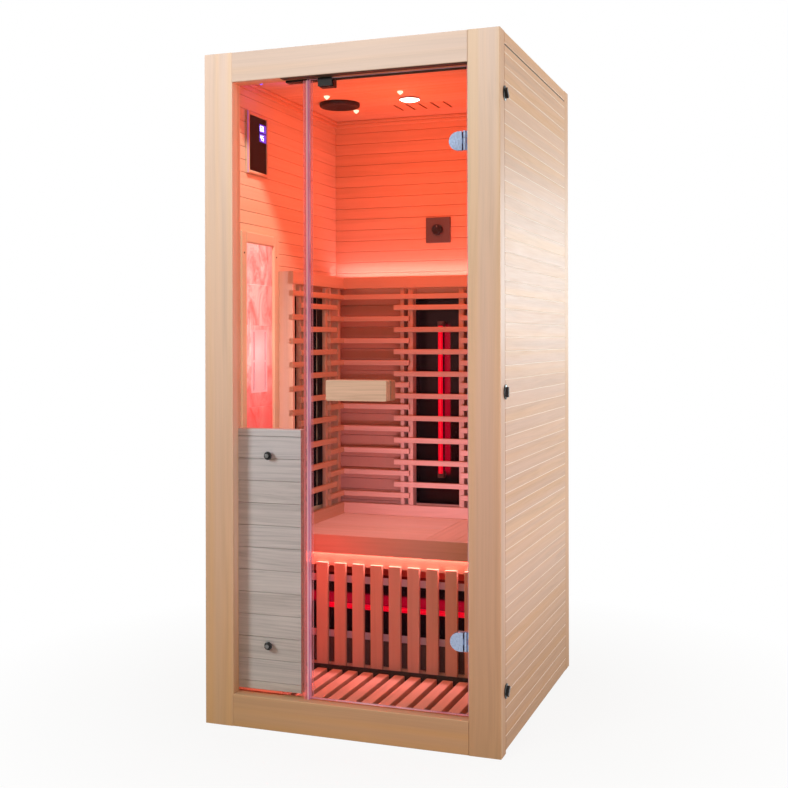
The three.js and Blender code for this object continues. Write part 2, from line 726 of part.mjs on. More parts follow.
function saltPanel() {
  const from = frameBack + saltFromFront;
  const run = [from, from + saltWidth];
  const saltTop = controlFoot - saltBelowControl;
  const heights = [saltTop - saltHeight, saltTop];
  const bed = framedPanel("salt_frame", run, heights, saltFrameWidth, saltFrameDepth, hemlock);
  const section = boardSection(-fit, -saltThick, ...bed.heights, saltBrickHeight);
  add(leftWall, "salt_bricks", alongX(section, bed.run), saltPink);
}

function controlPanel() {
  const from = frameBack + controlFromFront;
  const run = [from, from + controlWidth];
  const heights = [controlFoot, controlTop];
  const bed = framedPanel("control_frame", run, heights, controlFrameWidth, controlFrameDepth, hemlock);
  add(leftWall, "control_screen", block(bed.run, [-controlScreenThick, -fit], bed.heights), darkScreen);
}

// Dimmer on the back wall: a plate and a knob that turns on its shaft
function dimmer() {
  const middle = backrestTop + dimmerAboveBackrest;
  const plateY = [-dimmerThick, -fit];
  const plate = block(around(0, dimmerSide), plateY, around(middle, dimmerSide));
  const shaftY = [-dimmerThick - 2 * fit, -dimmerThick + knobShaftLength];
  const bore = barY(knobShaftRadius + fit, 0, middle, [-dimmerThick - fit, shaftY[1] + fit], 16);
  add(backWall, "dimmer_plate", cut(plate, bore), blackPlastic);
  const knobFace = -dimmerThick - fit - knobLength;
  const knob = barY(knobRadius, 0, middle, [knobFace, -dimmerThick - fit], 32);
  const shaft = barY(knobShaftRadius, 0, middle, shaftY, 16);
  add(backWall, "dimmer_knob", join(knob, shaft), blackPlastic);
}

// Bench: seat board with a deep front edge, on two cleats and on the rail of its grille
function bench() {
  const seat = new THREE.Shape();
  const apronFoot = benchHeight - apronHeight;
  seat.moveTo(seatFront, apronFoot);
  seat.lineTo(seatFront + apronThick, apronFoot);
  seat.lineTo(seatFront + apronThick, seatFoot);
  seat.lineTo(innerBack - fit, seatFoot);
  seat.lineTo(innerBack - fit, benchHeight);
  seat.lineTo(seatFront, benchHeight);
  seat.closePath();
  add(cabin, "bench_seat", alongX(seat, innerRun), warmHemlock);
  const cleatY = [seatFront + benchGrilleSetBack + benchSlatThick + benchRailThick, innerBack - fit];
  const cleatZ = [seatFoot - fit - cleatHeight, seatFoot - fit];
  const cleatRight = [innerRight - fit - cleatWidth, innerRight - fit];
  add(cabin, "bench_cleat_right", block(cleatRight, cleatY, cleatZ), warmHemlock);
  add(cabin, "bench_cleat_left", block([-cleatRight[1], -cleatRight[0]], cleatY, cleatZ), warmHemlock);
}

// Runs of equal slats spread evenly from one end of a width to the other, near a wanted pitch
function spreadSlats([x0, x1], slatWidth, wantedPitch) {
  const gaps = Math.round((x1 - x0 - slatWidth) / wantedPitch);
  const pitch = (x1 - x0 - slatWidth) / gaps;
  return Array.from({ length: gaps + 1 }, (_, slat) => [x0 + slat * pitch, x0 + slat * pitch + slatWidth]);
}

// Grille of upright slats below the bench, on two rails and two posts that also carry the heater
const grilleFront = seatFront + benchGrilleSetBack;
const grilleRailY = [grilleFront + benchSlatThick - lap, grilleFront + benchSlatThick + benchRailThick - lap];

function benchGrille() {
  const topRailFoot = seatFoot - fit - benchTopRailHeight;
  const topRail = block(innerRun, grilleRailY, [topRailFoot, seatFoot - fit]);
  const footRail = block(innerRun, grilleRailY, [floorTop, floorTop + benchFootRailHeight]);
  const posts = [-1, 1].map((side) => {
    const post = around(side * (innerRight - benchPostFromWall), benchPostWidth);
    return block(post, grilleRailY, [floorTop + lap, topRailFoot + lap]);
  });
  const slatY = [grilleFront, grilleFront + benchSlatThick];
  const slatZ = [floorTop, benchHeight - benchSlatDrop];
  const slats = spreadSlats(innerRun, benchSlatWidth, benchSlatPitch).map((run) => block(run, slatY, slatZ));
  add(cabin, "bench_grille", join(topRail, footRail, ...posts, ...slats), warmHemlock);
}

function calfHeater() {
  const trayY = [grilleRailY[1] + fit, grilleRailY[1] + fit + calfHeaterDepth];
  const top = benchHeight - calfHeaterDrop;
  const heights = [top - calfHeaterHeight, top];
  const calfHeaterWidth = 2 * (innerRight - calfHeaterFromWall);
  const tray = block(around(0, calfHeaterWidth), trayY, heights);
  const floor = trayY[1] - heaterSheet;
  const hollow = block(
    around(0, calfHeaterWidth - 2 * calfHeaterRim),
    [trayY[0] - fit, floor],
    [heights[0] + calfHeaterRim, heights[1] - calfHeaterRim],
  );
  add(cabin, "calf_heater", cut(tray, hollow), carbon);
  const tubeY = floor - fit - tubeStand;
  const middle = top - calfHeaterHeight / 2;
  const tubeEnd = innerRight - calfTubeFromWall;
  const holders = [-1, 1].map((side) => {
    const run = around(side * tubeEnd, tubeHolderLength);
    return block(run, [tubeY - tubeRadius, floor - fit], around(middle, tubeHolderWidth));
  });
  const tube = barX(tubeRadius, tubeY, middle, [-tubeEnd, tubeEnd], 16);
  add(cabin, "calf_heater_tube", join(tube, ...holders), redTube);
}

// Light strip under the seat, just behind its front edge
function benchLight() {
  const stripY = [seatFront + apronThick + fit, seatFront + apronThick + fit + lightStripThick];
  const heights = [seatFoot - fit - lightStripWidth, seatFoot - fit];
  const run = around(0, 2 * (innerRight - benchLightFromWall));
  add(cabin, "bench_light_strip", block(run, stripY, heights), lampWhite);
}

function floor() {
  add(cabin, "floor_panel", block(innerRun, leftRun, [0, floorThick]), hemlock);
  const grilleY = [frameBack + floorGrilleGap, grilleFront - floorGrilleBackGap];
  const battenTop = floorGrilleTop - floorSlatThick + lap;
  const grilleX = [-openingRight + fit, openingRight - fit];
  const battens = [0, 1, 2].map((step) => {
    const reach = grilleY[1] - grilleY[0] - floorBattenWidth;
    const from = grilleY[0] + (step * reach) / 2;
    return block(grilleX, [from, from + floorBattenWidth], [floorTop, battenTop]);
  });
  const slatZ = [floorGrilleTop - floorSlatThick, floorGrilleTop];
  const slats = spreadSlats(grilleX, floorSlatWidth, floorSlatPitch).map((run) => block(run, grilleY, slatZ));
  add(cabin, "floor_grille", join(...battens, ...slats), warmHemlock);
}

// Roof and ceiling, with the vent slots through both
const fittingsY = innerBack - fittingsFromBack;
const speakerX = -speakerFromMiddle;
const lampX = 0;
const glandX = -powerBoxFromMiddle;
const glandY = innerBack - powerBoxFromBack;
const powerBoxX = around(glandX, powerBoxWidth);
const powerBoxY = around(glandY, powerBoxDepth);

function ventSlots([z0, z1]) {
  const slots = [];
  for (let slot = 0; slot < ventCount; slot += 1) {
    const middle = (slot - (ventCount - 1) / 2) * ventPitch;
    slots.push(block(around(middle, ventWidth), around(innerBack - ventFromBack, ventLength), [z0, z1]));
  }
  return slots;
}

function roof() {
  const slab = block([-right, right], leftRun, [roofFoot, height]);
  const grow = ([from, to]) => [from - fit, to + fit];
  const pocket = block(grow(powerBoxX), grow(powerBoxY), [roofFoot - fit, roofFoot + powerBoxHeight + fit]);
  const glandHole = barZ(glandRadius + fit, glandX, glandY, [roofFoot, height + fit]);
  const roofSlots = ventSlots([roofFoot - fit, height + fit]);
  add(cabin, "roof_panel", cut(slab, pocket, glandHole, ...roofSlots), hemlock);

  const section = boardSection(ceilingTop, ceilingFoot, ...leftRun, boardPitch);
  const through = [ceilingFoot - fit, ceilingTop + fit];
  const speakerHole = barZ(speakerNeckRadius + fit, speakerX, fittingsY, through, 40);
  const lampHole = barZ(lampNeckRadius + fit, lampX, fittingsY, through, 40);
  const ceiling = cut(acrossX(section, innerRun), speakerHole, lampHole, ...ventSlots(through));
  add(cabin, "ceiling_panel", ceiling, warmHemlock);

  const casing = block(powerBoxX, powerBoxY, [roofFoot, roofFoot + powerBoxHeight]);
  const gland = barZ(glandRadius, glandX, glandY, [roofFoot + lap, height - fit]);
  add(cabin, "power_box", join(casing, gland), greySteel);
}

// A round ceiling fitting: a shallow dish below the ceiling and a neck in the ceiling's hole
function ceilingFitting(name, x, [radius, drop], [neckRadius, neckHeight], finish) {
  const seat = ceilingFoot - fit;
  const profile = [
    new THREE.Vector2(0, seat - drop),
    new THREE.Vector2(radius * 0.85, seat - drop),
    new THREE.Vector2(radius, seat - drop / 3),
    new THREE.Vector2(radius, seat),
    new THREE.Vector2(neckRadius, seat),
    new THREE.Vector2(neckRadius, seat + neckHeight),
    new THREE.Vector2(0, seat + neckHeight),
  ];
  const turned = new THREE.LatheGeometry(profile, 28).rotateX(Math.PI / 2);
  add(cabin, name, turned.translate(x, fittingsY, 0), finish);
}

frontFrame();
fixedPane();
glassSeal();
legPanel();
tieBolts();
doorGlass();
doorHandle();
Object.entries(hingeHeights).forEach(([level, z]) => hinge(level, z));
doorCatch();
wallsAndBackrests();
backLight();
saltPanel();
controlPanel();
dimmer();
bench();
benchGrille();
calfHeater();
benchLight();
floor();
roof();
const speakerNeck = [speakerNeckRadius, speakerNeckHeight];
ceilingFitting("speaker", speakerX, [speakerRadius, speakerDrop], speakerNeck, blackPlastic);
ceilingFitting("ceiling_lamp", lampX, [lampRadius, lampDrop], [lampNeckRadius, lampNeckHeight], lampWhite);

export default cabin;
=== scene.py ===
import json
import math

import bmesh
import bpy
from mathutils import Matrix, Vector

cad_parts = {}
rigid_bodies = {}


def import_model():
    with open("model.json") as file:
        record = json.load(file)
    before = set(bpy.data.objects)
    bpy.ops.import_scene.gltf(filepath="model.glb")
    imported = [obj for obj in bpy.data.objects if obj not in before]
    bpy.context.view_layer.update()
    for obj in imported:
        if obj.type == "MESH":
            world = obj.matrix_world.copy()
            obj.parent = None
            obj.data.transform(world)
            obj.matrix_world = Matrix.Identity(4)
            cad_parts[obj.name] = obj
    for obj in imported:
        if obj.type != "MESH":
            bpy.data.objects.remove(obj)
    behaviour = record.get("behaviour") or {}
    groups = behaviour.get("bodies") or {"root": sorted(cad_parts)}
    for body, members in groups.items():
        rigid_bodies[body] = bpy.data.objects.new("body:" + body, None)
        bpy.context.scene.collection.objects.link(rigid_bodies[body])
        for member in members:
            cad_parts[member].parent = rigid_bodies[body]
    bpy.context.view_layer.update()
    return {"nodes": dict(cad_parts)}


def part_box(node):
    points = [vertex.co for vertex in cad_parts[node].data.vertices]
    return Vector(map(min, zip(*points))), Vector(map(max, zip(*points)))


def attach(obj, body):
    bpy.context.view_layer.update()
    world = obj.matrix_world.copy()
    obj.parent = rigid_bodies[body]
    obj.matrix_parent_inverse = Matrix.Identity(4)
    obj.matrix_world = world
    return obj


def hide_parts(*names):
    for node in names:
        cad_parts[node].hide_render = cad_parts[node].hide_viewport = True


bl_info = {
    "name": "Infrared Sauna Cabin",
    "version": (1, 0, 0),
    "blender": (4, 5, 0),
    "location": "3D View > Sidebar > Cabin",
    "description": "Dresses the frame of a one-person infrared cabin in timber, glass and light",
    "category": "Object",
}

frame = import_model()
MM = 0.001
AXES = "xyz"


def tint(name, description, default):
    """A colour setting"""
    return bpy.props.FloatVectorProperty(
        name=name, description=description, subtype="COLOR", size=3, min=0, max=1, default=default)


def distance(name, description, default):
    """A length setting, in metres"""
    return bpy.props.FloatProperty(
        name=name, description=description, subtype="DISTANCE", unit="LENGTH", default=default)


def power(name, description, default):
    """A lamp's strength setting, in watts"""
    return bpy.props.FloatProperty(
        name=name, description=description, subtype="POWER", unit="POWER", default=default)


class CabinTimber(bpy.types.PropertyGroup):
    """Colours and sizes of the boards, slats and beams"""

    outside: tint("Outside", "Planed hemlock of the frame and the outer boards", (0.77, 0.535, 0.395))
    # Redder than the outside hemlock: part of the cabin's warm light is painted into this colour
    inside: tint("Inside", "Hemlock of the linings, slats and bench", (0.74, 0.45, 0.29))
    leg_panel: tint("Leg panel", "Greyer boards behind the fixed pane", (0.66, 0.56, 0.525))
    # Painted shade: a dark wood for boards that lie in shadow under the floor grille and behind the bench
    shaded: tint(
        "Shaded boards", "Darker boards under the floor grille and behind the bench", (0.15, 0.085, 0.06))
    # Painted shade: darker boards where the backrest shades the back lining
    low_lining: tint(
        "Lower lining", "Darker boards of the back lining behind the backrest", (0.56, 0.28, 0.165))
    handle: tint("Handle", "Handle block with a livelier grain", (0.70, 0.46, 0.31))
    # Painted highlight: pale strips in the grooves stand for light catching the boards' rounded edges
    tongue: tint(
        "Tongues", "Fresh pale wood that shows in the grooves between outer boards", (0.96, 0.84, 0.72))
    board_pitch: distance("Board pitch", "From one wall board to the next", 37.5 * MM)
    board_thick: distance("Board thickness", "Thickness of the outer wall boards", 9 * MM)
    board_gap: distance("Board gap", "Open joint between two boards", 0.8 * MM)
    board_arris: distance("Board arris", "Rounding of a board's long edges", 1.3 * MM)
    slat_arris: distance("Slat arris", "Rounding of the long edges of slats and beams", 2.5 * MM)
    unevenness: distance("Unevenness", "How far boards stand out of line", 0.1 * MM)
    cornice_height: distance("Cornice height", "Height of the trim between linings and ceiling", 22 * MM)
    cornice_depth: distance("Cornice depth", "How far that trim stands off the lining", 12 * MM)


class CabinFittings(bpy.types.PropertyGroup):
    """Sizes and colours of glass, metal and electrical fittings"""

    edge_tint: tint("Glass edge", "Light that the glass carries to its polished edges", (0.86, 0.30, 0.42))
    tube_glow: tint("Tube glow", "Glow of the infrared tubes", (0.95, 0.0, 0.02))
    salt: tint("Salt", "Rock salt lit from behind", (1.0, 0.54, 0.52))
    display: tint("Display", "Lit figures of the control panel", (0.72, 0.70, 1.0))
    star_radius: distance("Star radius", "Radius of a small ceiling lamp", 9 * MM)
    screw_radius: distance("Screw radius", "Radius of a small screw's head", 2.6 * MM)
    hole_pitch: distance("Grille pitch", "From hole to hole in the speaker's grille", 5.2 * MM)


class CabinLight(bpy.types.PropertyGroup):
    """Studio light and the cabin's own lamps"""

    room_tint: tint("Room tint", "Colour of the even light from all round", (1.0, 0.84, 0.69))
    room_light: bpy.props.FloatProperty(
        name="Room light", description="Strength of the even light from all round", default=0.40)
    key_power: power("Key", "Large soft lamp in front, high up", 75)
    side_power: power("Side", "Soft lamp behind the right wall", 25)
    right_power: power("Right", "Large soft lamp on the right", 42)
    fill_power: power("Fill", "Narrow lamp beside the camera, on the cabin's lower half", 0.78)
    fill_tint: tint("Fill colour", "Light on the cabin's lower half", (1.0, 0.36, 0.74))
    glow: tint("Cabin glow", "Coloured light inside the cabin", (1.0, 0.115, 0.042))
    glow_power: power("Glow", "Coloured lamp in the cabin's upper half", 5.6)
    red: tint("Red light", "Light of the heaters behind the leg panel and under the seat", (1.0, 0.05, 0.05))
    red_power: power("Red lamps", "Lamps behind the leg panel and under the seat", 0.75)
    strip: tint("Strip colour", "Light of the strips behind backrest and bench", (1.0, 0.32, 0.40))
    backrest_power: power("Backrest strip", "Light strip behind the back rail", 0.88)
    bench_power: power("Bench strip", "Light strip under the seat", 1.35)
    lamp_tint: tint("Lamp colour", "Light of the round ceiling lamp", (0.92, 0.62, 0.86))
    lamp_power: power("Ceiling lamp", "Round lamp in the ceiling, shining down", 1.5)
    salt_tint: tint("Salt light", "Light that the salt panel throws back", (1.0, 0.45, 0.42))
    salt_power: power("Salt lamp", "Lamp in front of the salt panel", 0.3)
    window_power: power("Left wall", "Pale light through the glass on the left wall", 130)
    panel_power: power("Leg panel", "Lamp on the left that the leg panel alone takes light from", 95)
    stile_power: power("Left stile", "Lamp on the right for the left stile and what is behind it", 14)
    far_power: power("Far sides", "Soft lamps on the left and behind", 62)
    blue_power: power("Blue star", "Light that the blue star lamp throws", 0.04)
    end_power: power("End boards", "Pale light on the end boards of the side backrests", 1.35)
    slat_power: power("Slats", "Pale light on the lower slats of the back", 1.2)


def settings(name):
    return getattr(bpy.context.scene, name)


# Building nodes, for geometry and for materials
def node(tree, kind, inputs=None, **options):
    """Adds a node, sets its options, and links or fills its inputs"""
    new = tree.nodes.new(kind)
    for option, value in options.items():
        setattr(new, option, value)
    for socket, source in (inputs or {}).items():
        if isinstance(source, bpy.types.NodeSocket):
            tree.links.new(source, new.inputs[socket])
        else:
            new.inputs[socket].default_value = source
    return new


def geometry_tree(name, inputs):
    """A geometry node tree with named inputs; returns it with its group input's sockets"""
    tree = bpy.data.node_groups.new(name, "GeometryNodeTree")
    tree.interface.new_socket("Geometry", in_out="INPUT", socket_type="NodeSocketGeometry")
    for label, kind in inputs.items():
        tree.interface.new_socket(label, in_out="INPUT", socket_type="NodeSocket" + kind)
    tree.interface.new_socket("Geometry", in_out="OUTPUT", socket_type="NodeSocketGeometry")
    return tree, node(tree, "NodeGroupInput").outputs


def tree_named(name, build):
    """The geometry tree of that name, built at its first use"""
    return bpy.data.node_groups.get(name) or build(name)


def row_of_points(tree, given):
    """The places of a row, from its first place, its step and its count"""
    inputs = {"Count": given["Count"], "Start Location": given["First"], "Offset": given["Step"]}
    return node(tree, "GeometryNodeMeshLine", inputs, mode="OFFSET").outputs[0]


def timber_row(name):
    """Equal bars in a row, with rounded arrises and a random tone each, added to what comes in"""
    tree, given = geometry_tree(name, {
        "First": "Vector", "Step": "Vector", "Count": "Int", "Width": "Float", "Thickness": "Float",
        "Length": "Float", "Turn": "Vector", "Arris": "Float", "Wander": "Vector", "Seed": "Int",
        "Wood": "Material"})
    section = node(tree, "GeometryNodeCurvePrimitiveQuadrilateral",
                   {"Width": given["Width"], "Height": given["Thickness"]})
    rounded = node(tree, "GeometryNodeFilletCurve",
                   {"Curve": section.outputs[0], "Radius": given["Arris"], "Count": 3, "Limit Radius": True},
                   mode="POLY")
    face = node(tree, "GeometryNodeFillCurve", {"Curve": rounded.outputs[0]}, mode="NGONS").outputs[0]
    far = node(tree, "GeometryNodeExtrudeMesh",
               {"Mesh": face, "Offset": (0, 0, 1), "Offset Scale": given["Length"], "Individual": False})
    near = node(tree, "GeometryNodeFlipFaces", {"Mesh": face})
    both = node(tree, "GeometryNodeJoinGeometry", {"Geometry": near.outputs[0]})
    tree.links.new(far.outputs[0], both.inputs[0])
    closed = node(tree, "GeometryNodeMergeByDistance", {"Geometry": both.outputs[0], "Distance": 1e-6})
    half = node(tree, "ShaderNodeMath", {0: given["Length"], 1: -0.5}, operation="MULTIPLY")
    down = node(tree, "ShaderNodeCombineXYZ", {"Z": half.outputs[0]})
    bar = node(tree, "GeometryNodeTransform", {"Geometry": closed.outputs[0], "Translation": down.outputs[0]})
    line = row_of_points(tree, given)
    low = node(tree, "ShaderNodeVectorMath", {0: given["Wander"], "Scale": -1.0}, operation="SCALE")
    shake = node(tree, "FunctionNodeRandomValue",
                 {0: low.outputs[0], 1: given["Wander"], "Seed": given["Seed"]}, data_type="FLOAT_VECTOR")
    places = node(tree, "GeometryNodeSetPosition", {"Geometry": line, "Offset": shake.outputs[0]})
    turn = node(tree, "FunctionNodeEulerToRotation", {0: given["Turn"]})
    bars = node(tree, "GeometryNodeInstanceOnPoints",
                {"Points": places.outputs[0], "Instance": bar.outputs[0], "Rotation": turn.outputs[0]})
    chance = node(tree, "FunctionNodeRandomValue", {"Seed": given["Seed"]}, data_type="FLOAT")
    toned = node(tree, "GeometryNodeStoreNamedAttribute",
                 {"Geometry": bars.outputs[0], "Name": "tone", "Value": chance.outputs[1]},
                 data_type="FLOAT", domain="INSTANCE")
    real = node(tree, "GeometryNodeRealizeInstances", {"Geometry": toned.outputs[0]})
    finish = node(tree, "GeometryNodeSetMaterial", {"Geometry": real.outputs[0], "Material": given["Wood"]})
    whole = node(tree, "GeometryNodeJoinGeometry", {"Geometry": finish.outputs[0]})
    tree.links.new(given["Geometry"], whole.inputs[0])
    node(tree, "NodeGroupOutput", {"Geometry": whole.outputs[0]})
    return tree


def row_of_cuts(name):
    """Equal boxes in a row, taken out of what comes in"""
    tree, given = geometry_tree(name, {"First": "Vector", "Step": "Vector", "Count": "Int", "Size": "Vector"})
    line = row_of_points(tree, given)
    box = node(tree, "GeometryNodeMeshCube", {"Size": given["Size"]})
    boxes = node(tree, "GeometryNodeInstanceOnPoints", {"Points": line, "Instance": box.outputs[0]})
    real = node(tree, "GeometryNodeRealizeInstances", {"Geometry": boxes.outputs[0]})
    rest = node(tree, "GeometryNodeMeshBoolean",
                {0: given["Geometry"], 1: real.outputs[0]}, operation="DIFFERENCE")
    node(tree, "NodeGroupOutput", {"Geometry": rest.outputs[0]})
    return tree


def heads_on_points(name):
    """A domed round head on every point that comes in, such as a screw, a lamp or a hole's rim"""
    tree, given = geometry_tree(name, {
        "Radius": "Float", "Rise": "Float", "Taper": "Float", "Sides": "Int", "Turn": "Vector",
        "Finish": "Material"})
    disc = node(tree, "GeometryNodeMeshCylinder",
                {"Vertices": given["Sides"], "Radius": given["Radius"], "Depth": given["Rise"]})
    top = node(tree, "GeometryNodeExtrudeMesh",
               {"Mesh": disc.outputs[0], "Selection": disc.outputs["Top"], "Offset Scale": given["Rise"],
                "Individual": False})
    dome = node(tree, "GeometryNodeScaleElements",
                {"Geometry": top.outputs[0], "Selection": top.outputs["Top"], "Scale": given["Taper"]})
    turn = node(tree, "FunctionNodeEulerToRotation", {0: given["Turn"]})
    heads = node(tree, "GeometryNodeInstanceOnPoints",
                 {"Points": given["Geometry"], "Instance": dome.outputs[0], "Rotation": turn.outputs[0]})
    real = node(tree, "GeometryNodeRealizeInstances", {"Geometry": heads.outputs[0]})
    finish = node(tree, "GeometryNodeSetMaterial", {"Geometry": real.outputs[0], "Material": given["Finish"]})
    node(tree, "NodeGroupOutput", {"Geometry": finish.outputs[0]})
    return tree


def apply_trees(name, steps, points=()):
    """Runs geometry trees one after another on a mesh of loose points; the result is a plain mesh"""
    mesh = bpy.data.meshes.new(name)
    mesh.from_pydata([tuple(point) for point in points], [], [])
    carrier = bpy.data.objects.new(name, mesh)
    bpy.context.scene.collection.objects.link(carrier)
    for build, inputs in steps:
        modifier = carrier.modifiers.new(build.__name__, "NODES")
        modifier.node_group = tree_named(build.__name__, build)
        items = modifier.node_group.interface.items_tree
        sockets = {item.name: item for item in items if item.in_out == "INPUT"}
        for label, value in inputs.items():
            modifier[sockets[label].identifier] = value
    evaluated = carrier.evaluated_get(bpy.context.evaluated_depsgraph_get())
    result = bpy.data.meshes.new_from_object(evaluated)
    bpy.data.objects.remove(carrier)
    main_finish = next((finish for finish in result.materials if finish), None)
    # Faces that a cut made have no material yet
    for i, finish in enumerate(result.materials):
        if finish is None:
            result.materials[i] = main_finish
    return result


# Placing finished pieces
def place(name, mesh, slot, body="cabin", replaces=(), smooth=50):
    """A finished piece: its mesh in a new object that rides on a body and may stand for CAD nodes"""
    mesh.shade_smooth()
    mesh.set_sharp_from_angle(angle=math.radians(smooth))
    piece = bpy.data.objects.new(name, mesh)
    bpy.context.scene.collection.objects.link(piece)
    even = piece.modifiers.new("even_normals", "WEIGHTED_NORMAL")
    even.weight = 100
    even.keep_sharp = True
    evaluated = piece.evaluated_get(bpy.context.evaluated_depsgraph_get())
    mesh = bpy.data.meshes.new_from_object(evaluated)
    piece.modifiers.clear()
    piece.data = mesh
    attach(piece, body)
    if replaces:
        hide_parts(*replaces)
    return piece


def spans(name):
    """The three coordinate ranges of a CAD node"""
    low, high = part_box(name)
    return [(low[i], high[i]) for i in range(3)]


def middle(span):
    return (span[0] + span[1]) / 2


def length(span):
    return span[1] - span[0]


def around(centre, size):
    return (centre - size / 2, centre + size / 2)


BAR_TURNS = {"x": (0, math.pi / 2, 0), "y": (-math.pi / 2, 0, 0), "z": (0, 0, 0)}
BAR_SIDES = {"x": (2, 1), "y": (0, 2), "z": (0, 1)}


def bars(x, y, z, along, finish, count=1, step=(0, 0, 0), arris=None, wander=(0, 0, 0), seed=0):
    """One or more equal bars of a wood or another material; the first lies between the given coordinates"""
    box = (x, y, z)
    width, thickness = (length(box[axis]) for axis in BAR_SIDES[along])
    return timber_row, {
        "First": [middle(span) for span in box], "Step": step, "Count": count,
        "Width": width, "Thickness": thickness, "Length": length(box[AXES.index(along)]),
        "Turn": BAR_TURNS[along], "Arris": settings("cabin_timber").slat_arris if arris is None else arris,
        "Wander": wander, "Seed": seed, "Wood": timber(finish, along) if isinstance(finish, str) else finish}


def cuts(x, y, z, count=1, step=(0, 0, 0)):
    """One or more equal box-shaped cuts; the first lies between the given pairs of coordinates"""
    box = (x, y, z)
    return row_of_cuts, {
        "First": [middle(span) for span in box], "Step": step, "Count": count,
        "Size": [length(span) for span in box]}


def boards(x, y, z, along, finish, stack="z", pitch=None, first=None, seed=0):
    """Boards laid edge to edge across a panel, with a cut one at the end and perhaps a narrow first one"""
    wood = settings("cabin_timber")
    pitch = pitch or wood.board_pitch
    box = [x, y, z]
    axis = AXES.index(stack)
    low, high = box[axis]
    face = 3 - axis - AXES.index(along)
    wander = [wood.unevenness if i == face else 0 for i in range(3)]
    rows = []

    def course(start, height, count):
        box[axis] = (start + wood.board_gap / 2, start + height - wood.board_gap / 2)
        step = [pitch if i == axis else 0 for i in range(3)]
        rows.append(bars(*box, along, finish, count, step, wood.board_arris, wander, seed + len(rows)))

    if first:
        course(low, first, 1)
        low += first
    count = int((high - low) / pitch + 1e-6)
    course(low, pitch, count)
    rest = high - low - count * pitch
    if rest > 4 * wood.board_gap:
        course(low + count * pitch, rest, 1)
    return rows


def head_mesh(name, points, turn, finish, radius, rise, sides, taper=0.7):
    """A mesh of equal domed heads, one on each point"""
    inputs = {"Radius": radius, "Rise": rise, "Taper": taper, "Sides": sides, "Turn": turn, "Finish": finish}
    return apply_trees(name, [(heads_on_points, inputs)], points)


def build(name, steps, slot, body="cabin", replaces=()):
    """A piece made by geometry trees"""
    return place(name, apply_trees(name, steps), slot, body, replaces)


def rounded_copy(name, width, segments=2, least=0.0):
    """A CAD node's mesh, merged, with its edges rounded where they are longer than the least length"""
    shape = bmesh.new()
    shape.from_mesh(frame["nodes"][name].data)
    bmesh.ops.remove_doubles(shape, verts=shape.verts, dist=1e-6)
    bmesh.ops.dissolve_limit(shape, angle_limit=math.radians(1), verts=shape.verts, edges=shape.edges)
    sharp = [edge for edge in shape.edges if len(edge.link_faces) == 2
             and edge.calc_face_angle() > math.radians(32) and edge.calc_length() > least]
    bmesh.ops.bevel(shape, geom=sharp, offset=width, segments=segments, profile=0.5,
                    affect="EDGES", clamp_overlap=True)
    mesh = bpy.data.meshes.new(name + "_finish")
    shape.to_mesh(mesh)
    shape.free()
    return mesh


def finished(name, slot, material, width, segments=2, least=0.0, body="cabin", extra=()):
    """A rounded piece in place of a CAD node, in one or more materials"""
    mesh = rounded_copy(name, width, segments, least)
    mesh.materials.clear()
    for finish in (material, *extra):
        mesh.materials.append(finish)
    return place(name + "_finish", mesh, slot, body, [name])


def turned(profile, centre, axis="z", sides=64, material=None):
    """A mesh turned on a lathe: (radius, height) pairs from the axis out and back to it"""
    shape = bmesh.new()
    rings = []
    for radius, height in profile:
        ring = []
        for i in range(sides if radius > 0 else 1):
            angle = 2 * math.pi * i / sides
            flat = (radius * math.cos(angle), radius * math.sin(angle), height)
            ring.append(shape.verts.new(flat))
        rings.append(ring)
    for one, two in zip(rings, rings[1:]):
        for i in range(sides):
            j = (i + 1) % sides
            corners = [one[i % len(one)], one[j % len(one)], two[j % len(two)], two[i % len(two)]]
            shape.faces.new(list(dict.fromkeys(corners)))
    bmesh.ops.recalc_face_normals(shape, faces=shape.faces)
    for vert in shape.verts:
        u, v, w = vert.co
        turned_co = {"z": (u, v, w), "y": (u, w, v), "x": (w, u, v)}[axis]
        vert.co = Vector(turned_co) + Vector(centre)
    if axis != "z":
        bmesh.ops.recalc_face_normals(shape, faces=shape.faces)
    mesh = bpy.data.meshes.new("turned")
    shape.to_mesh(mesh)
    shape.free()
    if material:
        mesh.materials.append(material)
    return mesh


def joined(name, meshes):
    """Several meshes as one, each with its own materials"""
    shape = bmesh.new()
    materials = []
    for mesh in meshes:
        start = len(shape.faces)
        shape.from_mesh(mesh)
        shape.faces.ensure_lookup_table()
        for face in shape.faces[start:]:
            material = mesh.materials[face.material_index]
            if material not in materials:
                materials.append(material)
            face.material_index = materials.index(material)
    whole = bpy.data.meshes.new(name)
    shape.to_mesh(whole)
    shape.free()
    for material in materials:
        whole.materials.append(material)
    return whole


# Materials
def new_material(name):
    material = bpy.data.materials.new(name)
    material.use_nodes = True
    tree = material.node_tree
    tree.nodes.clear()
    output = node(tree, "ShaderNodeOutputMaterial")
    return material, tree, output


def principled(tree, output, **inputs):
    sockets = {label.replace("_", " "): value for label, value in inputs.items()}
    shader = node(tree, "ShaderNodeBsdfPrincipled", sockets)
    tree.links.new(shader.outputs[0], output.inputs["Surface"])
    return shader


def colour(rgb, factor=1.0):
    return (*(min(1.0, channel * factor) for channel in rgb), 1.0)


def noise(tree, vector, scale, detail=2.0, roughness=0.5, distortion=0.0):
    return node(tree, "ShaderNodeTexNoise",
                {"Vector": vector, "Scale": scale, "Detail": detail, "Roughness": roughness,
                 "Distortion": distortion}).outputs["Fac"]


def object_place(tree):
    return node(tree, "ShaderNodeTexCoord").outputs["Object"]


def axes_of(tree, vector):
    return node(tree, "ShaderNodeSeparateXYZ", {0: vector}).outputs


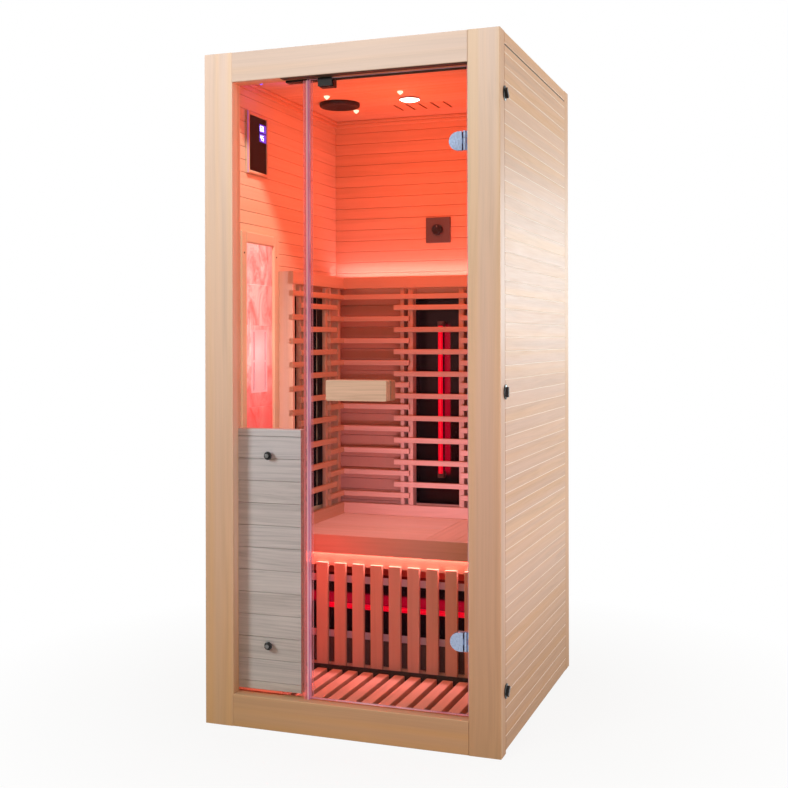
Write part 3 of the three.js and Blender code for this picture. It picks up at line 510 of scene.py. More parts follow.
def rescaled(tree, value, low=0.0, high=1.0, to_low=0.0, to_high=1.0):
    """A value carried from one range to another and kept inside it"""
    limits = {"From Min": low, "From Max": high, "To Min": to_low, "To Max": to_high}
    return node(tree, "ShaderNodeMapRange", {"Value": value, **limits}).outputs[0]


def maths(tree, operation, *values):
    return node(tree, "ShaderNodeMath", dict(enumerate(values)), operation=operation).outputs[0]


def mapped(tree, vector, scale):
    return node(tree, "ShaderNodeMapping", {"Vector": vector, "Scale": scale}).outputs[0]


def ramp(tree, factor, stops):
    """A colour ramp of (position, colour) stops; a single number is a grey"""
    new = node(tree, "ShaderNodeValToRGB", {"Fac": factor})
    elements = new.color_ramp.elements
    while len(elements) < len(stops):
        elements.new(0.5)
    for element, (position, shade) in zip(elements, stops):
        element.position = position
        element.color = colour([shade] * 3 if isinstance(shade, (int, float)) else shade[:3])
    return new.outputs[0]


def blend(tree, factor, one, two, kind="MIX"):
    new = node(tree, "ShaderNodeMix", {0: factor, 6: one, 7: two}, data_type="RGBA", blend_type=kind)
    return new.outputs[2]


def bump(tree, height, strength, distance):
    return node(tree, "ShaderNodeBump",
                {"Height": height, "Strength": strength, "Distance": distance}).outputs[0]


# Setting that holds the colour, roughness, how strongly the grain shows and how close its lines lie
WOODS = {
    "outside": ("outside", 0.42, 1.0, 62.0), "inside": ("inside", 0.58, 1.0, 62.0),
    "grey": ("leg_panel", 0.55, 2.3, 165.0), "shaded": ("shaded", 0.6, 1.0, 62.0),
    "tongue": ("tongue", 0.5, 0.4, 62.0), "lower": ("low_lining", 0.58, 1.0, 62.0),
    "handle": ("handle", 0.42, 2.4, 190.0)}


def timber(finish, along):
    """Straight-grained hemlock with the grain along one axis and a tone of its own on each board"""
    name = f"hemlock_{finish}_{along}"
    if name in bpy.data.materials:
        return bpy.data.materials[name]
    setting, rough, depth, lie = WOODS[finish]
    base = getattr(settings("cabin_timber"), setting)
    material, tree, output = new_material(name)
    tone = node(tree, "ShaderNodeAttribute", attribute_name="tone").outputs["Fac"]
    place_in = object_place(tree)
    shift = node(tree, "ShaderNodeVectorMath", {0: (3.1, 5.7, 7.9), "Scale": tone}, operation="SCALE")
    own = node(tree, "ShaderNodeVectorMath", {0: place_in, 1: shift.outputs[0]}, operation="ADD").outputs[0]
    i = AXES.index(along)
    waver = noise(tree, mapped(tree, own, [1.6 if k == i else 5.0 for k in range(3)]), 1.0, 1.0)
    drift = node(tree, "ShaderNodeVectorMath", {0: (0.05, 0.05, 0.05), "Scale": waver}, operation="SCALE")
    bent = node(tree, "ShaderNodeVectorMath", {0: own, 1: drift.outputs[0]}, operation="ADD").outputs[0]
    rings = noise(tree, mapped(tree, bent, [0.55 if k == i else lie for k in range(3)]), 1.0, 3.0, 0.6)
    fibre = noise(tree, mapped(tree, own, [7.0 if k == i else 520.0 for k in range(3)]), 1.0, 2.0, 0.6)
    cloud = noise(tree, mapped(tree, own, [1.3 if k == i else 7.0 for k in range(3)]), 1.0, 2.0, 0.5)
    lines = maths(tree, "MULTIPLY_ADD", rings, 0.62, 0.0)
    lines = maths(tree, "MULTIPLY_ADD", fibre, 0.20, lines)
    grain = maths(tree, "MULTIPLY_ADD", cloud, 0.18, lines)
    body = ramp(tree, grain, [(0.34, colour(base, 1 + 0.10 * depth)), (0.50, colour(base)),
                              (0.68, colour(base, 1 - 0.20 * depth))])
    warm = colour((base[0] * 0.92, base[1] * 0.84, base[2] * 0.74))
    cool = colour((base[0] * 1.05, base[1] * 1.07, base[2] * 1.12))
    toned = ramp(tree, tone, [(0.0, warm), (0.5, colour(base)), (1.0, cool)])
    mixed = blend(tree, 0.40, body, toned)
    knots = node(tree, "ShaderNodeTexVoronoi",
                 {"Vector": mapped(tree, own, [0.55 if k == i else 1.0 for k in range(3)]), "Scale": 3.4})
    spot = rescaled(tree, knots.outputs["Distance"], 0.006, 0.020, 0.7, 0.0)
    final = blend(tree, spot, mixed, colour((base[0] * 0.45, base[1] * 0.34, base[2] * 0.26)))
    if finish == "grey":
        # Painted shade: the leg panel's boards darker and yellower towards the foot
        height = axes_of(tree, place_in)["Z"]
        painted_shade_low = ramp(tree, height, [(0.1, (0.86, 0.85, 0.78)), (0.8, 1)])
        final = blend(tree, 1.0, final, painted_shade_low, "MULTIPLY")
    if finish == "outside":
        # Painted light and shade by height: front faces darker and yellower towards the foot; the faces set
        # back from the front, the sides, darker at the foot and warmer at the top
        axes = axes_of(tree, place_in)
        height = rescaled(tree, axes["Z"], high=1.9)
        front = spans("front_left_stile")[1][0]
        behind = rescaled(tree, axes["Y"], front + 1 * MM, front + 18 * MM)
        front_painted_shade = ramp(tree, height, [(0.0, (0.72, 0.63, 0.41)), (0.55, (0.96, 0.905, 0.81)), (1.0, 1)])
        side_painted_shade = ramp(tree, height, [(0.0, (0.60, 0.46, 0.27)), (0.26, (0.95, 0.93, 0.90)),
                                    (0.78, (0.98, 0.97, 0.95)), (0.93, (1.0, 0.93, 0.82)),
                                    (1.0, (1.0, 0.88, 0.72))])
        final = blend(tree, 1.0, final, blend(tree, behind, front_painted_shade, side_painted_shade), "MULTIPLY")
        streak = noise(tree, mapped(tree, own, [0.4 if k == i else 24.0 for k in range(3)]), 1.0, 1.0)
        stave = ramp(tree, streak, [(0.38, (0.95, 0.96, 1.0)), (0.50, (0.985, 0.97, 0.96)),
                                    (0.62, (1.0, 0.96, 0.85))])
        final = blend(tree, 1.0, final, stave, "MULTIPLY")
    gloss = rescaled(tree, fibre, 0.3, 0.7, rough - 0.06, rough + 0.10)
    principled(tree, output, Base_Color=final, Roughness=gloss,
               Normal=bump(tree, fibre, 0.10, 0.0004), Specular_IOR_Level=0.18)
    return material


def clear_glass():
    """Thin clear pane: what is behind it shows unbent, and it mirrors the room faintly"""
    material, tree, output = new_material("clear_glass")
    through = node(tree, "ShaderNodeBsdfTransparent", {"Color": (0.965, 0.985, 0.98, 1)})
    smear = noise(tree, object_place(tree), 3.0, 3.0)
    haze = rescaled(tree, smear, to_low=0.0, to_high=0.04)
    mirror = node(tree, "ShaderNodeBsdfGlossy", {"Color": (1, 1, 1, 1), "Roughness": haze})
    rim = node(tree, "ShaderNodeFresnel", {"IOR": 1.12}).outputs[0]
    inside = node(tree, "ShaderNodeNewGeometry").outputs["Backfacing"]
    outer = maths(tree, "SUBTRACT", 1.0, inside)
    share = maths(tree, "MULTIPLY", rim, outer)
    pane = node(tree, "ShaderNodeMixShader", {0: share, 1: through.outputs[0], 2: mirror.outputs[0]})
    tree.links.new(pane.outputs[0], output.inputs["Surface"])
    return material


def glass_edge():
    """Polished glass edge with a painted glow that stands for the cabin's light carried through the glass"""
    tint = settings("cabin_fittings").edge_tint
    material, tree, output = new_material("glass_edge")
    cloud = noise(tree, object_place(tree), 9.0, 2.0)
    body = ramp(tree, cloud, [(0.3, colour(tint, 0.8)), (0.7, colour((0.95, 0.72, 0.82)))])
    through = node(tree, "ShaderNodeBsdfTransparent", {"Color": (0.93, 0.90, 0.92, 1)})
    edge = node(tree, "ShaderNodeBsdfPrincipled",
                {"Base Color": body, "Roughness": 0.12, "Emission Color": body, "Emission Strength": 0.18})
    both = node(tree, "ShaderNodeMixShader", {0: 0.55, 1: through.outputs[0], 2: edge.outputs[0]})
    tree.links.new(both.outputs[0], output.inputs["Surface"])
    return material


def vinyl():
    """Clear soft strip: pale and violet lines and a faint glow along it are painted highlights and painted
    light, the rest lets the cabin show through
    """
    material, tree, output = new_material("clear_vinyl")
    spot = object_place(tree)
    axes = axes_of(tree, spot)
    near, far = spans("glass_seal")[0]
    across = rescaled(tree, axes["X"], near, far)
    pink, pale, violet = (0.98, 0.36, 0.40, 1), (0.97, 0.64, 0.70, 1), (0.46, 0.20, 0.48, 1)
    body = ramp(tree, across, [(0.0, pink), (0.28, pink), (0.36, pale), (0.50, pale), (0.58, violet),
                               (0.70, violet), (0.78, pink), (1.0, pink)])
    clouds = noise(tree, mapped(tree, spot, (8, 8, 3)), 1.0, 2.0)
    share = ramp(tree, across, [(0.0, 0.5), (0.16, 0.10), (0.30, 0.10),
                                (0.38, 0.62), (0.70, 0.50),
                                (0.76, 0.10), (0.86, 0.12), (1.0, 0.5)])
    uneven = rescaled(tree, clouds, 0.3, 0.7, 0.75, 1.1)
    density = maths(tree, "MULTIPLY", share, uneven)
    through = node(tree, "ShaderNodeBsdfTransparent", {"Color": (0.97, 0.90, 0.93, 1)})
    strip = node(tree, "ShaderNodeBsdfPrincipled",
                 {"Base Color": body, "Roughness": 0.18, "Emission Color": body, "Emission Strength": 0.19})
    both = node(tree, "ShaderNodeMixShader", {0: density, 1: through.outputs[0], 2: strip.outputs[0]})
    tree.links.new(both.outputs[0], output.inputs["Surface"])
    return material


def metal(name, rgb, rough, scale=240.0, wave=0.0):
    """Metal with a faint uneven polish, perhaps slightly wavy"""
    material, tree, output = new_material(name)
    spot = object_place(tree)
    wear = noise(tree, spot, scale, 3.0)
    body = ramp(tree, wear, [(0.3, colour(rgb, 0.85)), (0.7, colour(rgb, 1.1))])
    gloss = rescaled(tree, wear, to_low=rough * 0.7, to_high=rough * 1.4)
    broad = noise(tree, spot, 16.0, 0.0)
    slow = node(tree, "ShaderNodeBump", {"Height": broad, "Strength": 1.0, "Distance": wave}).outputs[0]
    fine = node(tree, "ShaderNodeBump",
                {"Height": wear, "Strength": 0.04, "Distance": 0.0002, "Normal": slow})
    principled(tree, output, Base_Color=body, Roughness=gloss, Metallic=1.0, Normal=fine.outputs[0])
    return material


def moulding(name, rgb, rough, grain=900.0, strength=0.10, shine=0.5):
    """Moulded or coated surface with a fine texture"""
    material, tree, output = new_material(name)
    spot = object_place(tree)
    fine = noise(tree, spot, grain, 2.0)
    broad = noise(tree, spot, 14.0, 2.0)
    body = blend(tree, broad, colour(rgb, 0.85), colour(rgb, 1.2))
    gloss = rescaled(tree, broad, to_low=rough * 0.85, to_high=rough * 1.15)
    principled(tree, output, Base_Color=body, Roughness=gloss, Specular_IOR_Level=shine,
               Normal=bump(tree, fine, strength, 0.0003))
    return material


def lit(name, rgb, strength, mottle=30.0):
    """Glowing surface with a slightly uneven light"""
    material, tree, output = new_material(name)
    uneven = noise(tree, object_place(tree), mottle, 2.0)
    glow = ramp(tree, uneven, [(0.3, colour(rgb, 0.86)), (0.7, colour(rgb))])
    principled(tree, output, Base_Color=glow, Roughness=0.35, Emission_Color=glow, Emission_Strength=strength)
    return material


def band(tree, value, low, high, soft):
    """1 between two values, fading to 0 beyond them"""
    up = rescaled(tree, value, low - soft, low)
    down = rescaled(tree, value, high + soft, high)
    return maths(tree, "MULTIPLY", up, down)


def carbon():
    """Black radiating sheet with a faint weave of heating threads; its reflections are tinted red, painting
    the red cabin they mirror, and the glow beside the tube is a painted reflection of the tube
    """
    material, tree, output = new_material("carbon_heater")
    spot = object_place(tree)
    cell = node(tree, "ShaderNodeTexBrick",
                {"Vector": mapped(tree, spot, (1, 1, 1)), "Scale": 90.0, "Color1": (0.012, 0.009, 0.011, 1),
                 "Color2": (0.020, 0.014, 0.017, 1), "Mortar": (0.030, 0.020, 0.022, 1), "Mortar Size": 0.03})
    cloud = noise(tree, spot, 5.0, 2.0)
    body = blend(tree, cloud, cell.outputs[0], (0.014, 0.010, 0.014, 1))
    gloss = rescaled(tree, cloud, to_low=0.05, to_high=0.12)
    axes = axes_of(tree, spot)
    back, calf = spans("back_heater_tube"), spans("calf_heater_tube")
    # Painted reflection: bands beside the back tube and above the calf tube glow, standing for the tubes
    # mirrored in the sheet
    beside = band(tree, axes["X"], middle(back[0]) + 10 * MM, middle(back[0]) + 25 * MM, 5 * MM)
    level = band(tree, axes["Z"], back[2][0] + 20 * MM, back[2][1] - 20 * MM, 20 * MM)
    above = band(tree, axes["Z"], middle(calf[2]) + 8 * MM, middle(calf[2]) + 30 * MM, 8 * MM)
    shine = maths(tree, "MULTIPLY_ADD", beside, level, above)
    principled(tree, output, Base_Color=body, Roughness=gloss, IOR=1.35,
               Specular_Tint=(1.0, 0.28, 0.26, 1), Emission_Color=(0.36, 0.0, 0.012, 1),
               Emission_Strength=shine)
    return material


def rock_salt():
    """Back-lit rock salt: paler and rosier clouds, brighter towards the top"""
    base = settings("cabin_fittings").salt
    material, tree, output = new_material("rock_salt")
    tone = node(tree, "ShaderNodeAttribute", attribute_name="tone").outputs["Fac"]
    spot = object_place(tree)
    shift = node(tree, "ShaderNodeVectorMath", {0: (2.3, 1.7, 4.1), "Scale": tone}, operation="SCALE")
    own = node(tree, "ShaderNodeVectorMath", {0: spot, 1: shift.outputs[0]}, operation="ADD").outputs[0]
    clouds = noise(tree, mapped(tree, own, (13, 13, 8)), 1.0, 5.0, 0.66, 1.6)
    veins = noise(tree, own, 46.0, 4.0, 0.7)
    pale = (1.0, 0.76, 0.72)
    body = ramp(tree, clouds, [(0.32, colour((base[0], base[1] * 0.40, base[2] * 0.38))),
                               (0.50, colour(base)), (0.66, colour(pale))])
    axes = axes_of(tree, spot)
    (near, far), (low, high) = spans("salt_bricks")[1:]
    up = rescaled(tree, axes["Z"], low, high, 0.34, 0.58)
    across = rescaled(tree, axes["Y"], near, far)
    rise = rescaled(tree, axes["Z"], low, high)
    red = colour((base[0], base[1] * 0.22, base[2] * 0.20))
    rim = ramp(tree, across, [(0.0, 0.25), (0.14, 0), (0.62, 0), (1.0, 0.5)])
    foot = ramp(tree, rise, [(0.15, 0.75), (0.42, 0)])
    body = blend(tree, rim, body, red)
    body = blend(tree, foot, body, red)
    principled(tree, output, Base_Color=body, Roughness=0.55, Emission_Color=body, Emission_Strength=up,
               Normal=bump(tree, veins, 0.35, 0.002))
    return material


def shared(build_material, name, *arguments, **options):
    """A material that several pieces use, built at its first use; no material of the frame has its name"""
    return bpy.data.materials.get(name) or build_material(name, *arguments, **options)


def chrome():
    # The dark blue-grey colour paints the reflection of a cool, dim surrounding into the chrome
    return shared(metal, "polished_chrome", (0.35, 0.41, 0.55), 0.16, wave=0.008)


def dark_steel():
    return shared(metal, "blackened_steel", (0.05, 0.047, 0.045), 0.2)


# A flat dark material for strips that paint shadow in joints and gaps
def dark_rubber():
    return shared(moulding, "dark_rubber", (0.055, 0.030, 0.016), 0.6)


def black_plastic():
    return shared(moulding, "matt_black", (0.026, 0.014, 0.013), 0.45, 900.0, 0.10, 0.25)


class CABIN_OT_front_frame(bpy.types.Operator):
    """Makes the beams of the glass front"""

    bl_idname = "cabin.front_frame"
    bl_label = "Front frame"

    def execute(self, context):
        for seed, (name, along) in enumerate((
                ("front_left_stile", "z"), ("front_right_stile", "z"),
                ("front_top_rail", "x"), ("front_bottom_rail", "x"))):
            beam = bars(*spans(name), along, "outside", seed=seed + 3)
            build(name + "_beam", [beam], "hemlock", replaces=[name])
        return {"FINISHED"}


class CABIN_OT_walls(bpy.types.Operator):
    """Makes the outer boards with their posts, the linings and the cornice"""

    bl_idname = "cabin.walls"
    bl_label = "Walls"

    tongue_depth = 0.5 * MM
    tongue_height = 2.2 * MM

    def execute(self, context):
        wood = context.scene.cabin_timber
        self.back_wall(wood)
        self.side_wall("left", -1, wood)
        self.side_wall("right", 1, wood)
        for side in ("back", "left", "right"):
            self.lining(side)
        self.cornice(wood)
        return {"FINISHED"}

    def back_wall(self, wood):
        x, y, z = spans("back_wall_panel")
        inner = spans("back_wall_lining")[0]
        face = (y[1] - wood.board_thick, y[1] - wood.unevenness)
        gap = wood.board_gap
        rows = [bars((x[0], inner[0] - gap), y, z, "z", "outside", seed=21),
                bars((inner[1] + gap, x[1]), y, z, "z", "outside", seed=22)]
        rows += boards(inner, face, z, "x", "outside", seed=23)
        rows.append(self.tongues(inner, (face[0], y[1] - self.tongue_depth), z, "x", wood))
        top = (spans("back_wall_lining")[2][1] + gap, z[1])
        rows.append(bars(inner, (y[0], face[0]), top, "x", "outside", seed=24))
        build("back_wall_boards", rows, "hemlock", replaces=["back_wall_panel"])

    def side_wall(self, side, sign, wood):
        node_name = f"{side}_wall_panel"
        x, y, z = spans(node_name)
        outer, inner = (x[1], x[0]) if sign > 0 else (x[0], x[1])
        back_of_boards = outer - sign * wood.board_thick
        face = tuple(sorted((outer, back_of_boards)))
        core = tuple(sorted((back_of_boards, inner)))
        batten = 45 * MM
        rows = boards(face, y, z, "y", "outside", seed=31 if sign > 0 else 41)
        sunk = tuple(sorted((back_of_boards, outer - sign * self.tongue_depth)))
        rows.append(self.tongues(sunk, y, z, "y", wood))
        for foot in (z[0], z[1] - batten):
            rows.append(bars(core, y, (foot, foot + batten), "y", "outside"))
        for end in (y[0], y[1] - batten):
            rows.append(bars(core, (end, end + batten), (z[0] + batten, z[1] - batten), "z", "outside"))
        build(f"{side}_wall_boards", rows, "hemlock", replaces=[node_name])

    def tongues(self, x, y, z, along, wood):
        """Pale strips in the grooves between outer boards: painted highlights of light catching the boards'
        rounded edges
        """
        pitch = wood.board_pitch
        grooves = math.ceil(length(z) / pitch) - 1
        first = around(z[0] + pitch, self.tongue_height)
        return bars(x, y, first, along, "tongue", grooves, (0, 0, pitch), 0.2 * MM)

    def lining(self, side):
        name = f"{side}_wall_lining"
        box = spans(name)
        along = "x" if side == "back" else "y"
        rows = []
        if side == "back":
            # The courses behind the backrest take the darker lining wood: painted shade
            pitch = settings("cabin_timber").board_pitch
            courses = math.floor((spans("back_backrest")[2][1] - box[2][0]) / pitch)
            change = box[2][0] + courses * pitch
            rows += boards(*box[:2], (box[2][0], change), along, "lower", seed=52)
            box = [*box[:2], (change, box[2][1])]
        rows += boards(*box, along, "inside", seed=51 if side == "back" else 61)
        recess = [list(span) for span in spans(f"{side}_heater")]
        across = 1 if side == "back" else 0
        recess[across] = [box[across][0] - MM, box[across][1] + MM]
        rows.append(cuts(*recess))
        build(f"{side}_lining_boards", rows, "warm_hemlock", replaces=[name])

    def cornice(self, wood):
        right = spans("right_wall_lining")[0][0]
        front, back = spans("right_wall_lining")[1][0], spans("back_wall_lining")[1][0]
        top = spans("ceiling_panel")[2][0] - 0.3 * MM
        lip = top - wood.cornice_height * 0.45
        foot = top - wood.cornice_height
        deep, shallow = wood.cornice_depth, wood.cornice_depth * 0.6
        rows = []
        for reach, heights in ((deep, (lip, top)), (shallow, (foot, lip))):
            rows.append(bars((-right, right), (back - reach, back), heights, "x", "inside", seed=71))
            run = (front, back - reach)
            rows.append(bars((-right, -right + reach), run, heights, "y", "inside", seed=72))
            rows.append(bars((right - reach, right), run, heights, "y", "inside", seed=73))
        build("cornice", rows, "warm_hemlock")


class CABIN_OT_roof(bpy.types.Operator):
    """Makes the roof deck and the ceiling boards with their vents"""

    bl_idname = "cabin.roof"
    bl_label = "Roof and ceiling"

    vents = 5
    vent_pitch = 42 * MM
    vent_size = (8 * MM, 97 * MM)
    vent_from_back = 164 * MM
    edge_board = 24 * MM
    felt_depth = 2 * MM
    fine_arris = 0.2 * MM
    gland_hole = 17 * MM
    deck_pitch = 97.5 * MM

    def execute(self, context):
        back = spans("back_wall_lining")[1][0]
        x, y, z = spans("roof_panel")
        edge = self.edge_board
        rows = [bars((x[0], x[0] + edge), y, z, "y", "outside", seed=81),
                bars((x[1] - edge, x[1]), y, z, "y", "outside", seed=82)]
        deck = (z[0], z[1] - context.scene.cabin_timber.unevenness)
        rows += boards((x[0] + edge, x[1] - edge), y, deck, "x", "outside", "y", self.deck_pitch, seed=83)
        rows.append(self.vent_cuts(back, (z[0] - MM, z[1] + MM)))
        gland = spans("power_box")
        centre = (middle(gland[0]), middle(gland[1]))
        rows.append(cuts(*(around(place, self.gland_hole) for place in centre), (z[0] - MM, z[1] + MM)))
        build("roof_deck", rows, "hemlock", replaces=["roof_panel"])
        self.shadow_gap(x, y, z)
        x, y, z = spans("ceiling_panel")
        rows = boards(x, y, z, "x", "inside", "y", seed=91)
        rows.append(self.vent_cuts(back, (z[0] - MM, z[1] + MM)))
        build("ceiling_boards", rows, "warm_hemlock", replaces=["ceiling_panel"])
        gauze = bars(around(self.first_vent(), self.vent_size[0]), self.vent_run(back),
                     (z[0] + 6 * MM, z[0] + 8 * MM), "y", moulding("vent_gauze", (0.03, 0.006, 0.005), 0.8),
                     self.vents, (self.vent_pitch, 0, 0), self.fine_arris)
        build("vent_gauze", [gauze], "black_plastic")
        box = frame["nodes"]["power_box"].data
        box.materials.clear()
        box.materials.append(moulding("grey_coat", (0.36, 0.37, 0.39), 0.5))
        return {"FINISHED"}

    def shadow_gap(self, x, y, z):
        """Dark strips set back in the joint between the roof and the side walls: painted shadow in the shadow
        gap
        """
        joint = (spans("right_wall_panel")[2][1], z[0])
        rows = [bars(around(outer, MM), y, joint, "y", dark_rubber(), arris=self.fine_arris)
                for outer in (x[0] + self.felt_depth, x[1] - self.felt_depth)]
        build("roof_felt", rows, "black_plastic")

    def first_vent(self):
        return -(self.vents - 1) / 2 * self.vent_pitch

    def vent_run(self, back):
        return around(back - self.vent_from_back, self.vent_size[1])

    def vent_cuts(self, back, heights):
        first = around(self.first_vent(), self.vent_size[0])
        return cuts(first, self.vent_run(back), heights, self.vents, (self.vent_pitch, 0, 0))


class CABIN_OT_floor(bpy.types.Operator):
    """Makes the floor panel and the slatted floor grille"""

    bl_idname = "cabin.floor"
    bl_label = "Floor"

    slat_width = 33 * MM
    slat_thick = 22 * MM
    slat_pitch = 49.5 * MM
    batten_width = 40 * MM
    panel_pitch = 97.5 * MM

    def execute(self, context):
        x, y, z = spans("floor_panel")
        heights = (z[0] + context.scene.cabin_timber.unevenness, z[1])
        # The floor panel under the grille takes the dark shaded wood: painted shade between the slats
        rows = boards(x, y, heights, "x", "shaded", "y", self.panel_pitch, seed=101)
        build("floor_boards", rows, "hemlock", replaces=["floor_panel"])
        x, y, z = spans("floor_grille")
        gaps = round((length(x) - self.slat_width) / self.slat_pitch)
        pitch = (length(x) - self.slat_width) / gaps
        slat = (x[0], x[0] + self.slat_width)
        under = z[1] - self.slat_thick
        rows = [bars(slat, y, (under, z[1]), "y", "inside", gaps + 1, (pitch, 0, 0), 2.5 * MM,
                     (0, 0, 0.3 * MM), 102)]
        batten = (y[0], y[0] + self.batten_width)
        step = (length(y) - self.batten_width) / 2
        rows.append(bars(x, batten, (z[0], under), "x", "shaded", 3, (0, step, 0), seed=103))
        # Dark strip between the floor grille and the bench's slats: painted shadow in the gap
        strip = (y[1] + MM, spans("bench_grille")[1][0] - MM)
        rows.append(bars(x, strip, (z[0], under), "x", "shaded", seed=104))
        build("floor_slats", rows, "warm_hemlock", replaces=["floor_grille"])
        return {"FINISHED"}


class CABIN_OT_bench(bpy.types.Operator):
    """Makes the seat, its cleats and the grille of upright slats below it"""

    bl_idname = "cabin.bench"
    bl_label = "Bench"

    seat_thick = 28 * MM
    seat_boards = 5
    seat_joint = 100 * MM
    hatch_boards = 3
    apron_thick = 20 * MM
    slat_width = 38 * MM
    slat_thick = 14 * MM
    slat_pitch = 59.7 * MM
    slat_drop = 91 * MM
    top_rail = 74 * MM
    foot_rail = 38 * MM
    post_width = 24 * MM
    post_from_wall = 38 * MM
    strip_rise = 5 * MM

    def execute(self, context):
        x, y, z = spans("bench_seat")
        under = z[1] - self.seat_thick
        deck = (y[0] + self.apron_thick, y[1])
        rows = [bars(x, (y[0], deck[0]), z, "x", "inside", seed=111, arris=3 * MM)]
        left, right = (x[0], self.seat_joint), (self.seat_joint, x[1])
        heights = (under, z[1])
        rows += boards(left, deck, heights, "x", "inside", "y", length(deck) / self.seat_boards, seed=112)
        rows += boards(right, deck, heights, "y", "inside", "x", length(right) / self.hatch_boards, seed=113)
        build("bench_boards", rows, "warm_hemlock", replaces=["bench_seat"])
        for name in ("bench_cleat_left", "bench_cleat_right"):
            cleat = bars(*spans(name), "y", "inside", seed=115)
            build(name + "_bar", [cleat], "warm_hemlock", replaces=[name])
        self.grille(z[1])
        heater = spans("calf_heater")
        closing = (spans("floor_panel")[2][1] + MM, heater[2][0] - MM)
        self.foot_strip()
        # Dark board below the calf heater, behind the slats: painted shade
        depth = (heater[1][0], heater[1][0] + self.apron_thick)
        board = bars(heater[0], depth, closing, "x", "shaded", seed=125)
        build("bench_closing_board", [board], "warm_hemlock")
        return {"FINISHED"}

    def foot_strip(self):
        """Dark strip just in front of the foot of the upright slats, up to a little above the floor grille:
        painted shadow in the gap between them
        """
        x, y, z = spans("bench_grille")
        near = y[0] - 0.6 * MM
        heights = (z[0], spans("floor_grille")[2][1] + self.strip_rise)
        strip = bars(x, (near - 2 * MM, near), heights, "x", dark_rubber(), arris=0.4 * MM)
        build("bench_foot_strip", [strip], "black_plastic")

    def grille(self, seat_top):
        x, y, z = spans("bench_grille")
        slat_y = (y[0], y[0] + self.slat_thick)
        rail_y = (slat_y[1], y[1])
        gaps = round((length(x) - self.slat_width) / self.slat_pitch)
        pitch = (length(x) - self.slat_width) / gaps
        slat_z = (z[0], seat_top - self.slat_drop)
        rows = [bars((x[0], x[0] + self.slat_width), slat_y, slat_z, "z", "inside", gaps + 1, (pitch, 0, 0),
                     wander=(0, 0.3 * MM, 0), seed=121)]
        rows.append(bars(x, rail_y, (z[1] - self.top_rail, z[1]), "x", "inside", seed=122))
        rows.append(bars(x, rail_y, (z[0], z[0] + self.foot_rail), "x", "inside", seed=123))
        post = around(x[0] + self.post_from_wall, self.post_width)
        between = (z[0] + self.foot_rail, z[1] - self.top_rail)
        reach = length(x) - 2 * self.post_from_wall
        rows.append(bars(post, rail_y, between, "z", "inside", 2, (reach, 0, 0), seed=124))
        build("bench_slats", rows, "warm_hemlock", replaces=["bench_grille"])


